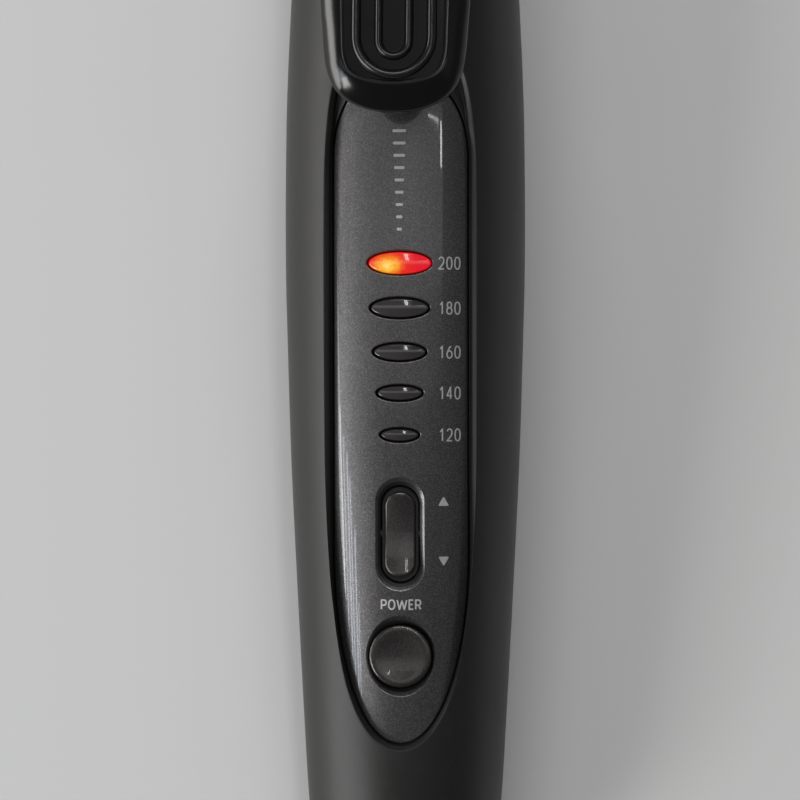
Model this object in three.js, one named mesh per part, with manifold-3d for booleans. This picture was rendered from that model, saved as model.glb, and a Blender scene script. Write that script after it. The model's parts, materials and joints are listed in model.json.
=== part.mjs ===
// A clamp-type electric curling iron: a round tapering handle in two shells with an inset control panel,
// a heated barrel with a sprung hair clamp and thumb lever, a folding wire stand and a swivelling cord inlet.
//
// Everything is drawn in the iron's own axes, in millimetres: X to the right seen from above the panel,
// Y along the barrel towards its tip, Z out of the control panel, with Y = 0 at the handle's front face and
// X = Z = 0 on the barrel's axis. The outer group then tips the iron nose-up, so that the stand's feet and
// the underside of the handle's tail rest on Z = 0, and centres it over the origin.
import * as THREE from "three";
import { mergeVertices } from "three/addons/utils/BufferGeometryUtils.js";
import Module from "manifold-3d";

// ---- driving dimensions, mm ----
const TILT_DEG = 5; // nose-up angle of the barrel when it rests on its stand
const AXIS_HEIGHT = 30.6; // height of the barrel's axis above the table at Y = 0
const CENTRE_Y = 19.0; // shift along the table that centres the whole length on the origin
const HANDLE_PROFILE = [
  [0, 18.2], [-10, 18.55], [-20, 19.0], [-30, 19.42], [-41, 19.93], [-50, 20.2], [-66, 20.35], [-75, 20.3],
  [-84, 20.08], [-106.5, 19.4], [-123.5, 18.6], [-137, 17.9], [-151, 17.15], [-163.3, 16.4], [-172, 15.5],
  [-177, 14.2], [-180, 12.0],
]; // outer radius along the handle
const WALL = 2.2;
const TAIL_HOLE_R = 7.3;
const PANEL = { a: 10.95, topY: -42.0, topC: -56.67, botC: -121.8, botY: -154.1 }; // outline of the inset panel
const RIM = [
  [-32, 0], [-32.8, 3.6], [-35, 7.2], [-38, 9.3], [-41.8, 10.75], [-45, 11.6], [-49.2, 12.25], [-56, 12.75], [-63.3, 12.9],
  [-96.7, 12.9], [-110, 12.75], [-121.8, 12.2], [-130, 11.5], [-140, 10.1], [-146, 8.6], [-150.5, 6.6], [-153.6, 4.1], [-155.3, 0],
]; // half width of the scooped recess round the panel
const PANEL_SUNK = 1.9; // panel surface below the handle's own surface
const PANEL_T = 1.7;
const LEDS = [
  ["200", -73.83, 5.5, 2.08], ["180", -81.33, 5.1, 1.86], ["160", -88.67, 4.62, 1.66],
  ["140", -95.5, 4.02, 1.45], ["120", -102.5, 3.42, 1.27],
]; // name, Y, half width, half height of each indicator window
const LENS_GAP = 0.32;
const ROCKER = { y: -119.1, slotHalfW: 3.3, slotHalfL: 8.25, capHalfW: 2.6, capHalfL: 7.15, axleZ: 14.2, axleR: 0.8 };
const BUTTON = { y: -139.5, holeR: 5.6, r: 5.2 };
const PCB = { z0: 8.0, z1: 9.6, y0: -150, y1: -49, halfW: 10.5 };
const BARREL = { r: 16.0, wall: 1.0, y0: -24, y1: 134 };
const COLLAR = { y0: 0.3, y1: 13.5, r: 18.2, innerR: 16.35 };
const HINGE = { y: 7, z: 22.5, pinR: 1.25, holeR: 1.6 };
const CLAMP = { r0: 16.4, r1: 17.3, y0: 15, y1: 133, halfW: 16.2 };
const STAND = { pivotY: 6.5, pivotZ: -9.5, wireR: 1.5, halfW: 21.4, footY: 14.5 };
const SEG = 48;

const wasm = await Module();
wasm.setup();

// ---- booleans ----
const toSolid = (g) => {
  const p = (g.index ? g.toNonIndexed() : g).clone();
  const bare = new THREE.BufferGeometry().setAttribute("position", p.getAttribute("position"));
  const m = mergeVertices(bare, 1e-4);
  return new wasm.Manifold(
    new wasm.Mesh({ numProp: 3, vertProperties: m.attributes.position.array, triVerts: new Uint32Array(m.index.array) }),
  );
};
const toGeometry = (s) => {
  const m = s.getMesh(), n = m.numProp, v = new Float32Array(m.numVert * 3);
  for (let i = 0; i < m.numVert; i++) v.set(m.vertProperties.subarray(i * n, i * n + 3), i * 3);
  return new THREE.BufferGeometry().setAttribute("position", new THREE.BufferAttribute(v, 3)).setIndex(new THREE.BufferAttribute(m.triVerts, 1));
};
const join = (...gs) => toGeometry(gs.map(toSolid).reduce((a, b) => a.add(b)));
const cut = (g, ...tools) => toGeometry(tools.map(toSolid).reduce((a, b) => a.subtract(b), toSolid(g)));
const common = (a, b) => toGeometry(toSolid(a).intersect(toSolid(b)));

// ---- shapes ----
const shapeOf = (pts, holes = []) => {
  const s = new THREE.Shape(pts.map(([x, y]) => new THREE.Vector2(x, y)));
  for (const h of holes) s.holes.push(new THREE.Path(h.map(([x, y]) => new THREE.Vector2(x, y))));
  return s;
};
const extrudeRaw = (shape, d) => new THREE.ExtrudeGeometry(shape, { depth: d, bevelEnabled: false, steps: 1 });
// outline in (X, Y), raised from z0 to z1
const prismZ = (pts, z0, z1, holes) => extrudeRaw(shapeOf(pts, holes), z1 - z0).translate(0, 0, z0);
// outline in (Y, Z), running from x0 to x1
const prismX = (pts, x0, x1, holes) =>
  extrudeRaw(shapeOf(pts, holes), x1 - x0)
    .applyMatrix4(new THREE.Matrix4().makeBasis(new THREE.Vector3(0, 1, 0), new THREE.Vector3(0, 0, 1), new THREE.Vector3(1, 0, 0)))
    .translate(x0, 0, 0);
// outline in (X, Z), running from y0 to y1
const prismY = (pts, y0, y1, holes) => extrudeRaw(shapeOf(pts, holes), y1 - y0).rotateX(Math.PI / 2).translate(0, y1, 0);
const ellipse = (cx, cy, a, b, n = 20) =>
  Array.from({ length: n }, (_, i) => [cx + a * Math.cos((2 * Math.PI * i) / n), cy + b * Math.sin((2 * Math.PI * i) / n)]);
const stadium = (cx, cy, halfW, halfL, n = 8) => {
  const p = [];
  for (let i = 0; i <= n; i++) {
    const t = (Math.PI * i) / n;
    p.push([cx + halfW * Math.cos(t), cy + halfL - halfW + halfW * Math.sin(t)]);
  }
  for (let i = 0; i <= n; i++) {
    const t = Math.PI + (Math.PI * i) / n;
    p.push([cx + halfW * Math.cos(t), cy - halfL + halfW + halfW * Math.sin(t)]);
  }
  return p;
};
const rect = (x0, y0, x1, y1) => [[x0, y0], [x1, y0], [x1, y1], [x0, y1]];
const block = (x0, x1, y0, y1, z0, z1) => new THREE.BoxGeometry(x1 - x0, y1 - y0, z1 - z0).translate((x0 + x1) / 2, (y0 + y1) / 2, (z0 + z1) / 2);
const rodX = (r, x0, x1, y, z, n = 16) => new THREE.CylinderGeometry(r, r, x1 - x0, n).rotateZ(Math.PI / 2).translate((x0 + x1) / 2, y, z);
const rodY = (r, y0, y1, x, z, n = 16) => new THREE.CylinderGeometry(r, r, y1 - y0, n).translate(x, (y0 + y1) / 2, z);
const rodZ = (r, z0, z1, x, y, n = 16) => new THREE.CylinderGeometry(r, r, z1 - z0, n).rotateX(Math.PI / 2).translate(x, y, (z0 + z1) / 2);
// closed ring or solid turned about the barrel's axis; pts are [radius, y] going round the section
const turned = (pts, seg = SEG) => {
  const g = new THREE.LatheGeometry([...pts, pts[0]].map(([r, y]) => new THREE.Vector2(r, y)), seg);
  return facingOut(g);
};
// solid turned about a line along Z; pts are [radius, z] from axis to axis
const turnedZ = (pts, x, y, seg = 24) =>
  facingOut(new THREE.LatheGeometry(pts.map(([r, z]) => new THREE.Vector2(r, z)), seg)).rotateX(Math.PI / 2).translate(x, y, 0);
const turnedX = (pts, y, z, seg = 16) =>
  facingOut(new THREE.LatheGeometry(pts.map(([r, h]) => new THREE.Vector2(r, h)), seg)).rotateZ(-Math.PI / 2).translate(0, y, z);
function volumeOf(g) {
  const p = g.getAttribute("position"), ix = g.index.array;
  let v = 0;
  const a = new THREE.Vector3(), b = new THREE.Vector3(), c = new THREE.Vector3();
  for (let i = 0; i < ix.length; i += 3) {
    a.fromBufferAttribute(p, ix[i]); b.fromBufferAttribute(p, ix[i + 1]); c.fromBufferAttribute(p, ix[i + 2]);
    v += a.dot(b.cross(c)) / 6;
  }
  return v;
}
function facingOut(g) {
  if (volumeOf(g) < 0) {
    const ix = g.index.array;
    for (let i = 0; i < ix.length; i += 3) [ix[i + 1], ix[i + 2]] = [ix[i + 2], ix[i + 1]];
  }
  return g;
}
// round rod of radius r along a smooth line through points
const bentRod = (points, r, sides, steps, tension = 0.5) => {
  const curve = new THREE.CatmullRomCurve3(points.map((p) => new THREE.Vector3(...p)), false, "catmullrom", tension);
  return new THREE.ExtrudeGeometry(shapeOf(ellipse(0, 0, r, r, sides)), { steps, bevelEnabled: false, extrudePath: curve });
};

// ---- the handle's radius at y: a monotone cubic through HANDLE_PROFILE ----
const KNOTS = [...HANDLE_PROFILE].sort((p, q) => p[0] - q[0]);
const SLOPES = KNOTS.map((p, i) => {
  if (i === 0) return (KNOTS[1][1] - p[1]) / (KNOTS[1][0] - p[0]);
  if (i === KNOTS.length - 1) return (p[1] - KNOTS[i - 1][1]) / (p[0] - KNOTS[i - 1][0]);
  const d0 = (p[1] - KNOTS[i - 1][1]) / (p[0] - KNOTS[i - 1][0]), d1 = (KNOTS[i + 1][1] - p[1]) / (KNOTS[i + 1][0] - p[0]);
  return d0 * d1 <= 0 ? 0 : (2 * d0 * d1) / (d0 + d1);
});
function handleR(y) {
  if (y <= KNOTS[0][0]) return KNOTS[0][1];
  let i = 0;
  while (i < KNOTS.length - 2 && y > KNOTS[i + 1][0]) i++;
  const [y0, r0] = KNOTS[i], [y1, r1] = KNOTS[i + 1], h = y1 - y0, t = Math.min(1, (y - y0) / h);
  const t2 = t * t, t3 = t2 * t;
  return (2 * t3 - 3 * t2 + 1) * r0 + (t3 - 2 * t2 + t) * h * SLOPES[i] + (-2 * t3 + 3 * t2) * r1 + (t3 - t2) * h * SLOPES[i + 1];
}
const HANDLE_Y = [0, -10, -20, -30, -41, -54, -70, -90, -108, -124, -138, -151, -163, -171, -176, -180];
// solid of revolution that follows the handle's surface, inset by d
const insetBody = (d, y0 = -181, y1 = 1) => {
  const ys = HANDLE_Y.filter((y) => y > y0 && y < y1);
  return turned([[0, y1], ...[y1, ...ys, y0].map((y) => [handleR(Math.min(0, Math.max(-180, y))) - d, y]), [0, y0]].reverse());
};
// outline of the panel, grown by d
const panelOutline = (d, n = 10) => {
  const { a, topY, topC, botC, botY } = PANEL, p = [];
  for (let i = 0; i <= n; i++) {
    const t = (Math.PI * i) / n;
    p.push([(a + d) * Math.cos(t), topC + (topY - topC + d) * Math.sin(t)]);
  }
  for (let i = 0; i <= n; i++) {
    const t = Math.PI + (Math.PI * i) / n;
    p.push([(a + d) * Math.cos(t), botC + (botC - botY + d) * Math.sin(t)]);
  }
  return p;
};

// ---- materials ----
const mat = (color, roughness, metalness = 0, extra = {}) => new THREE.MeshStandardMaterial({ color, roughness, metalness, ...extra });
const softBlack = mat(0x1b1a19, 0.62), glossBlack = mat(0x0d0c0d, 0.18), gunmetal = mat(0x4a4a4c, 0.28, 0.6),
  lensDark = mat(0x2a2829, 0.15), lensLit = mat(0xff3a10, 0.3, 0, { emissive: 0xff2a00 }), barrelCoat = mat(0x2b2b2e, 0.3, 0.6),
  steel = mat(0xb8b8ba, 0.3, 1), brass = mat(0xc8a24a, 0.35, 1), aluminium = mat(0xc2c4c6, 0.45, 1), board = mat(0x1d5a34, 0.5),
  chip = mat(0x17171a, 0.5), ceramic = mat(0xece8de, 0.6), rubber = mat(0x141414, 0.85), insulation = mat(0xe6e2d6, 0.5),
  insulationB = mat(0x2a3f8f, 0.5), heatPlastic = mat(0x151416, 0.4), nylon = mat(0xd8d2c4, 0.6);

const iron = new THREE.Group();
const add = (name, geometry, material) => {
  const m = new THREE.Mesh(geometry, material);
  m.name = name;
  iron.add(m);
  return m;
};

// ================= handle shells =================
const innerR = (y) => (y > -27 ? 16.45 : Math.max(6, handleR(y) - WALL));
const tube = turned([
  ...HANDLE_Y.map((y) => [handleR(y), y]),
  [TAIL_HOLE_R, -180], [TAIL_HOLE_R, -174.2],
  ...[-174.2, -171, -163, -151, -138, -124, -108, -90, -70, -54, -41, -30].map((y) => [innerR(y), y]),
  [16.45, -26.9], [16.45, 0],
]);
const above = (z) => block(-40, 40, -200, 20, z, 60), below = (z) => block(-40, 40, -200, 20, -60, z);
const FRONT_BOSSES = [[11, -34], [-11, -34], [0, -156.3]];
const BOARD_POSTS = [[7.6, -55], [-7.6, -144]];

let front = common(tube, above(0.15));
front = join(
  front,
  ...FRONT_BOSSES.map(([x, y]) => common(rodZ(2.7, 0.3, 30, x, y, 14), insetBody(1.0))),
  common(rodZ(1.8, 11.2, 30, 0, -166, 12), insetBody(1.0)),
);
// the scooped ledge round the panel, then the opening itself
const rimOutline = [...RIM.map(([y, w]) => [w, y]), ...RIM.slice(1, -1).reverse().map(([y, w]) => [-w, y])].reverse();
const ledge = cut(prismZ(rimOutline, 4, 40), insetBody(1.3));
front = cut(front, ledge, prismZ(panelOutline(0.45), 4, 40), ...FRONT_BOSSES.map(([x, y]) => rodZ(1.4, -1, 8.5, x, y, 12)));
add("front_shell", front, softBlack);

let rear = common(tube, below(-0.15));
rear = join(
  rear,
  ...FRONT_BOSSES.map(([x, y]) => common(rodZ(3.5, -30, -0.3, x, y, 14), insetBody(0.8))),
  ...BOARD_POSTS.map(([x, y]) => common(rodZ(2.2, -30, PCB.z0 - 0.3, x, y, 12), insetBody(1.0))),
);
rear = cut(
  rear,
  ...FRONT_BOSSES.flatMap(([x, y]) => [rodZ(2.65, -40, -6.0, x, y, 14), rodZ(1.4, -10, 2, x, y, 12)]),
  ...BOARD_POSTS.map(([x, y]) => rodZ(1.2, -2, 12, x, y, 10)),
);
add("rear_shell", rear, softBlack);
const screw = (x, y, zHead, zEnd, headR, headH, r, up = 1) =>
  up > 0
    ? join(rodZ(headR, zHead - headH, zHead, x, y, 14), rodZ(r, zHead - 0.4, zEnd, x, y, 12))
    : join(rodZ(headR, zHead, zHead + headH, x, y, 14), rodZ(r, zEnd, zHead + 0.4, x, y, 12));
FRONT_BOSSES.forEach(([x, y], i) => add(`shell_screw_${["right", "left", "tail"][i]}`, screw(x, y, -6.3, 7.5, 2.3, 1.6, 1.1), steel));

// ================= control panel =================
const panelZone = cut(insetBody(PANEL_SUNK), insetBody(PANEL_SUNK + PANEL_T));
let panel = common(panelZone, prismZ(panelOutline(0), 4, 40));
// side flanges that bear on the inside of the front shell
const flangeZone = cut(insetBody(WALL + 0.35), insetBody(PANEL_SUNK + PANEL_T));
panel = join(panel, common(flangeZone, common(prismZ(panelOutline(1.7), 4, 40), block(-20, 20, -130, -49, 0, 40))));
const ear = (s) => block(Math.min(s * 3.45, s * 4.7), Math.max(s * 3.45, s * 4.7), ROCKER.y - 1.8, ROCKER.y + 1.8, 12.7, 15.6);
panel = join(panel, ear(1), ear(-1));
panel = cut(
  panel,
  ...LEDS.map(([, y, a, b]) => prismZ(ellipse(0, y, a, b), 4, 40)),
  prismZ(stadium(0, ROCKER.y, ROCKER.slotHalfW, ROCKER.slotHalfL), 4, 40),
  cut(prismZ(stadium(0, ROCKER.y, 4.0, 9.3), 10, 40), insetBody(PANEL_SUNK + 0.35)),
  cut(prismZ(stadium(0, ROCKER.y, 3.65, 8.75), 10, 40), insetBody(PANEL_SUNK + 0.8)),
  rodZ(BUTTON.holeR, 4, 40, 0, BUTTON.y, 28),
  turnedZ([[0, 14.6], [5.65, 14.6], [8.0, 16.95], [0, 16.95]], 0, BUTTON.y, 28),
  rodX(ROCKER.axleR + 0.25, -6, 6, ROCKER.y, ROCKER.axleZ, 12),
);
add("control_panel", panel, gunmetal);
const faceBody = insetBody(PANEL_SUNK - 0.05);
for (const [name, y, a, b] of LEDS)
  add(`lens_${name}`, common(prismZ(ellipse(0, y, a - LENS_GAP, b - LENS_GAP), 11.2, 30), faceBody), name === "200" ? lensLit : lensDark);

// ---- temperature rocker: a saddle-topped key on a cross axle ----
{
  const { y, capHalfL: L, capHalfW: W, axleZ } = ROCKER, top = 16.95, pts = [];
  for (let i = 0; i <= 10; i++) {
    const t = -1 + (2 * i) / 10;
    pts.push([y - t * L * 0.97, top - 0.75 * (1 - t * t) + (Math.abs(t) > 0.95 ? -0.3 : 0)]);
  }
  pts.push([y - L, 15.9], [y - L, 14.9], [y - 5.9, 14.9], [y - 5.9, 12.8], [y - 4.3, 12.8], [y - 4.3, 14.7], [y - 2.0, 14.7], [y - 1.7, 13.0],
    [y + 1.7, 13.0], [y + 2.0, 14.7], [y + 4.3, 14.7], [y + 4.3, 12.8], [y + 5.9, 12.8], [y + 5.9, 14.9], [y + L, 14.9], [y + L, 15.9]);
  const cap = prismX(pts.reverse(), -W, W);
  const rounded = common(cap, prismZ(stadium(0, y, W, L, 8), 10, 30));
  const skirt = prismZ(stadium(0, y, 3.05, 7.95, 8), 14.9, 15.3);
  add("temperature_rocker", cut(join(rounded, skirt), rodX(ROCKER.axleR + 0.25, -4, 4, y, axleZ, 12)), gunmetal);
  add("rocker_axle", rodX(ROCKER.axleR, -4.9, 4.9, y, axleZ, 12), heatPlastic);
}
// ---- power button: a dished disc on a short stem ----
add("power_button", turnedZ([[0, 12.0], [6.2, 12.0], [6.2, 12.4], [5.2, 12.4], [5.2, 15.25], [4.86, 15.83], [4.4, 15.97], [3.6, 15.86], [1.8, 15.58], [0, 15.5]], 0, BUTTON.y, 28), gunmetal);

// ================= circuit board and what it carries =================
add("circuit_board", cut(block(-PCB.halfW, PCB.halfW, PCB.y0, PCB.y1, PCB.z0, PCB.z1), ...BOARD_POSTS.map(([x, y]) => rodZ(1.4, 0, 20, x, y, 12))), board);
BOARD_POSTS.forEach(([x, y], i) => add(`board_screw_${i ? "rear" : "front"}`, screw(x, y, PCB.z1 + 0.3, 2.5, 1.9, 1.2, 0.9, -1), steel));
for (const [name, y] of LEDS) add(`led_${name}`, block(-1.6, 1.6, y - 0.8, y + 0.8, PCB.z1 + 0.1, PCB.z1 + 1.2), ceramic);
add("power_switch", block(-3, 3, BUTTON.y - 3, BUTTON.y + 3, PCB.z1 + 0.1, PCB.z1 + 1.2), chip);
add("power_switch_plunger", rodZ(1.5, PCB.z1 + 1.85, PCB.z1 + 2.2, 0, BUTTON.y, 14), chip);
const plunged = (name, y) => add(name, join(block(-3, 3, y - 2.4, y + 2.4, PCB.z1 + 0.1, PCB.z1 + 1.7), rodZ(1.0, PCB.z1 + 1.5, PCB.z1 + 2.5, 0, y, 12)), chip);
plunged("temperature_up_switch", ROCKER.y + 5.1);
plunged("temperature_down_switch", ROCKER.y - 5.1);
add("controller_chip", block(-3.9, 3.9, -66, -58.5, PCB.z1 + 0.2, PCB.z1 + 1.9), chip);
add("triac", join(block(-5, 5, -72, -68.4, -1.5, 7.7), block(-5, 5, -68.8, -67.6, -5.5, 6.2)), chip);
add("reservoir_capacitor", turned([[0, 0], [4.0, 0], [4.0, 11.5], [3.6, 12], [0, 12]].map(([r, y]) => [r, y - 110]), 20).translate(0, 0, 3.4), aluminium);

// ================= swivelling cord inlet =================
add("swivel_hub", turned([
  [4.3, -188], [5.6, -188], [6.9, -186.8], [8.1, -184.4], [8.4, -180.6], [6.95, -180.6], [6.95, -173.8], [9.6, -173.8], [9.6, -171.6], [6.3, -171.6], [6.3, -161.5], [4.3, -161.5],
], 32), heatPlastic);
const ringAt = (y0, y1) => turned([[6.6, y0], [7.5, y0], [7.5, y1], [6.6, y1]], 32);
add("slip_ring_live", ringAt(-170.3, -167.3), brass);
add("slip_ring_neutral", ringAt(-165.5, -162.5), brass);
const brush = (y, s) => {
  const outline = [[-2, 7.8], [2, 7.8], [2, 8.2], [6.9, 8.2], [6.9, 10.9], [6.3, 10.9], [6.3, 8.8], [-2, 8.8]].map(([x, z]) => [s * x, z]);
  return prismY(s > 0 ? outline : outline.reverse(), y, y + 2.2);
};
add("brush_live", brush(-169.9, 1), brass);
add("brush_neutral", brush(-165.1, -1), brass);
add("brush_carrier", block(-5.9, 5.9, -170.6, -161.4, 9.2, 10.8), nylon);

// ================= barrel =================
add("barrel_tube", cut(turned([[BARREL.r - BARREL.wall, BARREL.y0], [BARREL.r, BARREL.y0], [BARREL.r, BARREL.y1], [BARREL.r - BARREL.wall, BARREL.y1]]), rodZ(1.5, -20, -10, 0, 5, 12)), barrelCoat);
add("barrel_plug", turned([[5.5, -29], [15.9, -29], [15.9, -24.4], [14.45, -24.4], [14.45, -13], [5.5, -13]]), nylon);
add("tip_cap", turned([
  [12.6, 124], [14.6, 124], [14.6, 134.3], [16.0, 134.3], [16.1, 141], [15.6, 145], [13.6, 148], [10, 149.6], [5, 150], [0, 150],
  [0, 147.8], [9.4, 147.6], [12.2, 146], [13.6, 143], [13.9, 137], [12.6, 134],
]), heatPlastic);
// heat spreaders: two hollow half-round aluminium extrusions with the heating plate between them
const halfMoon = (s) => {
  const outer = [], inner = [], n = 12;
  for (let i = 0; i <= n; i++) {
    const t = (Math.PI * i) / n;
    outer.push([14.1 * Math.cos(t), s * (1.8 + 12.6 * Math.sin(t))]);
    inner.push([12.3 * Math.cos(t), s * (3.3 + 9.3 * Math.sin(t))]);
  }
  return prismY(s > 0 ? outer : outer.reverse(), 20, 112, [inner]);
};
add("heat_spreader_upper", halfMoon(1), aluminium);
add("heat_spreader_lower", halfMoon(-1), aluminium);
add("heater_plate", block(-8.0, 8.0, 28, 104, -1.5, 1.5), ceramic);
add("thermal_fuse", turned([[0, 0], [1.5, 0.2], [1.6, 9], [0, 9.4]].map(([r, y]) => [r, y - 8]), 14).translate(0, 0, -9), steel);

// ---- leads inside the handle ----
const heaterLead = (s) => bentRod([[6.2, 27.4, 0], [6.0, 10, 0.2], [3.8, -6, 0.3], [3.0, -20, 0], [2.9, -36, 0.8], [3.3, -50, 3.2], [3.9, -62, 6.7]].map(([x, y, z]) => [s * x, y, z]), 1.0, 7, 22);
add("heater_lead_live", heaterLead(1), insulation);
add("heater_lead_neutral", heaterLead(-1), insulation);
add("thermistor_probe", join(
  turned([[0, 58.6], [1.2, 59], [1.4, 60.5], [1.2, 64], [0, 64.6]], 12).translate(11.4, 0, 0),
  bentRod([[11.4, 60, 0], [11.4, 30, 0], [10.2, 10, -1.2], [4.2, -8, -3.0], [1.2, -20, -3.2], [0, -34, -2], [0, -46, 3], [0, -54, 6.9]], 0.6, 6, 26),
), insulationB);
add("mains_lead_live", bentRod([[8.1, -168.8, 9.4], [8.8, -161, 8.4], [8.2, -152, 5.4], [6.6, -142, 4.8], [5.2, -132, 6.8]], 0.9, 7, 16), insulation);
add("mains_lead_neutral", bentRod([[-8.1, -164, 9.4], [-8.4, -158, 8.0], [-6.6, -152, 5.4], [-3.9, -146.5, 4.6], [-3.4, -141, 4.4], [-4.4, -130, 4.8], [-5.4, -118, 6.8]], 0.9, 7, 20), insulationB);

// ================= collar with hinge ears and stand bosses =================
let collar = turned([[COLLAR.innerR, COLLAR.y0], [COLLAR.r, COLLAR.y0], [COLLAR.r, 11.2], [17.9, 12.6], [17.2, COLLAR.y1], [COLLAR.innerR, COLLAR.y1]]);
const earOutline = [[2.2, 13], [3.2, 21.0], ...Array.from({ length: 9 }, (_, i) => {
  const t = Math.PI - (Math.PI * i) / 8;
  return [HINGE.y + 3.4 * Math.cos(t), HINGE.z + 3.3 * Math.sin(t)];
}), [11.4, 19.5], [12.6, 13]];
collar = join(
  collar,
  prismX(earOutline.slice().reverse(), 8.4, 10.9), prismX(earOutline.slice().reverse(), -10.9, -8.4),
  rodX(3.1, 14.2, 18.7, STAND.pivotY, STAND.pivotZ, 20), rodX(3.1, -18.7, -14.2, STAND.pivotY, STAND.pivotZ, 20),
  ...[1, -1].map((s) => prismX([[10.15, -14.6], [13.2, -14.2], [13.2, -10.2], [9.0, -10.2]], ...(s > 0 ? [14.6, 22.4] : [-22.4, -14.6]))),
);
collar = cut(
  collar,
  rodY(COLLAR.innerR, -10, 30, 0, 0, SEG), rodX(HINGE.holeR, -20, 20, HINGE.y, HINGE.z, 16),
  rodX(STAND.wireR + 0.35, 16.9, 30, STAND.pivotY, STAND.pivotZ, 16), rodX(STAND.wireR + 0.35, -30, -16.9, STAND.pivotY, STAND.pivotZ, 16),
  rodZ(1.5, -30, -10, 0, 5, 12),
);
add("front_collar", collar, heatPlastic);
add("collar_screw", join(rodZ(2.3, -19.8, -18.5, 0, 5, 14), rodZ(1.1, -18.9, -14.2, 0, 5, 12)), steel);

// ================= hair clamp, bracket and thumb lever =================
const arcBand = (r0, r1, halfDeg, y0, y1, n) => {
  const o = [], i = [];
  for (let k = 0; k <= n; k++) {
    const t = ((-halfDeg + (2 * halfDeg * k) / n) * Math.PI) / 180;
    o.push([r1 * Math.sin(t), r1 * Math.cos(t)]);
    i.push([r0 * Math.sin(t), r0 * Math.cos(t)]);
  }
  return prismY([...i, ...o.reverse()], y0, y1);
};
const RIVETS = [20.5, 31.5];
const clampPlan = [[-8.5, CLAMP.y0], [8.5, CLAMP.y0], [12.5, 19], [16.6, 30], [16.6, 116], [14.5, 125.5], [10.5, 131.2], [5, CLAMP.y1], [-5, CLAMP.y1], [-10.5, 131.2], [-14.5, 125.5], [-16.6, 116], [-16.6, 30], [-12.5, 19]];
add("clamp_plate", cut(common(arcBand(CLAMP.r0, CLAMP.r1, 69, CLAMP.y0 - 1, CLAMP.y1 + 1, 24), prismZ(clampPlan, 0, 40)), ...RIVETS.map((y) => rodZ(1.5, 10, 30, 0, y, 12))), barrelCoat);

// lever arm: strip over the clamp, bent web up over the hinge, and a tang that runs into the thumb lever
const webTop = [[37, 18.85], [19.5, 18.85], [14.6, 23.0], [11.2, 27.0], [3.0, 28.0], [-6, 29.2], [-34, 33.0]];
const webBottom = [[-34, 31.8], [-6, 28.0], [2.8, 26.8], [10.2, 25.9], [13.6, 22.2], [18.6, 17.7], [37, 17.7]];
const webProfile = [...webTop, ...webBottom];
let bracket = prismX(webProfile.slice().reverse(), -6.4, 6.4);
// the strip over the clamp is curved to sit on it
bracket = cut(bracket, block(-20, 20, 16.5, 40, 0, 40));
bracket = cut(bracket, common(block(-20, 20, -60, -1.2, 0, 60), cut(block(-30, 30, -60, 40, 0, 60), block(-4.6, 4.6, -70, 50, -1, 70))));
const strip = common(arcBand(17.65, 18.85, 24, 14.6, 37, 8), prismZ([[-7.4, 14.6], [7.4, 14.6], [7.4, 32], [4.5, 37], [-4.5, 37], [-7.4, 32]], 0, 40));
const cheekOutline = [[19.5, 18.0], [14.6, 23.0], [11.2, 27.0], [3.0, 28.0], [2.6, 24], [3.6, 20.4], [6.2, 19.3], [9.5, 19.3], [14.8, 17.4]];
const cheek = (x0, x1) => prismX(cheekOutline, x0, x1);
bracket = join(bracket, strip, cheek(6.0, 7.4), cheek(-7.4, -6.0));
const LEVER_SCREW_Y = -25;
bracket = cut(bracket, rodX(HINGE.holeR, -12, 12, HINGE.y, HINGE.z, 16), ...RIVETS.map((y) => rodZ(1.5, 10, 30, 0, y, 12)), rodZ(1.5, 20, 50, 0, LEVER_SCREW_Y, 12));
add("lever_bracket", bracket, steel);
RIVETS.forEach((y, i) => add(`clamp_rivet_${i ? "front" : "rear"}`, join(turnedZ([[0, 18.9], [2.5, 19.15], [2.3, 19.8], [1.3, 20.3], [0, 20.4]], 0, y, 16), rodZ(1.15, 16.7, 19.5, 0, y, 12)), steel));

// thumb lever: flat ribbed top, sloping flanks, rounded nose
const leverSide = [
  [-1.0, 30.0], [-12, 31.5], [-30, 33.9], [-43.9, 35.75], [-46.0, 35.4], [-47.8, 34.2], [-48.9, 32.3], [-48.5, 30.9],
  [-44.5, 30.3], [-30, 28.3], [-12, 26.2], [-1.0, 25.2],
];
const leverHalf = [[7.6, -1], [8.8, -6], [12.0, -14], [12.5, -22], [12.3, -31.3], [12.0, -35.5], [11.7, -39.6], [11.3, -42.9], [10.0, -45.85], [8.0, -47.6], [5.4, -48.4], [0, -48.9]];
const leverPlan = [...leverHalf, ...leverHalf.slice(0, -1).reverse().map(([x, y]) => [-x, y])];
let lever = common(prismX(leverSide, -14, 14), prismZ(leverPlan, 10, 50));
// flanks: cut the upper long edges back to the narrower ribbed face
const flank = (s) => {
  const g = prismY(s > 0 ? [[8.8, 1.2], [14, 1.2], [14, -6.6], [12.6, -6.6], [11.9, -2.4], [10.4, -0.4]] : [[-8.8, 1.2], [-10.4, -0.4], [-11.9, -2.4], [-12.6, -6.6], [-14, -6.6], [-14, 1.2]], -62, 6);
  return g.rotateX(-Math.atan2(35.7 - 30.0, 42.6)).translate(0, 0, 29.9);
};
lever = cut(lever, flank(1), flank(-1));
const slot = cut(prismX([[4, 28.45], [-6, 29.5], [-34.5, 33.3], [-34.5, 31.45], [-6, 27.7], [4, 26.4]], -4.95, 4.95));
lever = cut(lever, slot, block(-9, 9, -1.6, 4, 20, 40), rodZ(2.6, 20, 29.3, 0, LEVER_SCREW_Y, 14), rodZ(1.5, 20, 32.9, 0, LEVER_SCREW_Y, 12));
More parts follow.
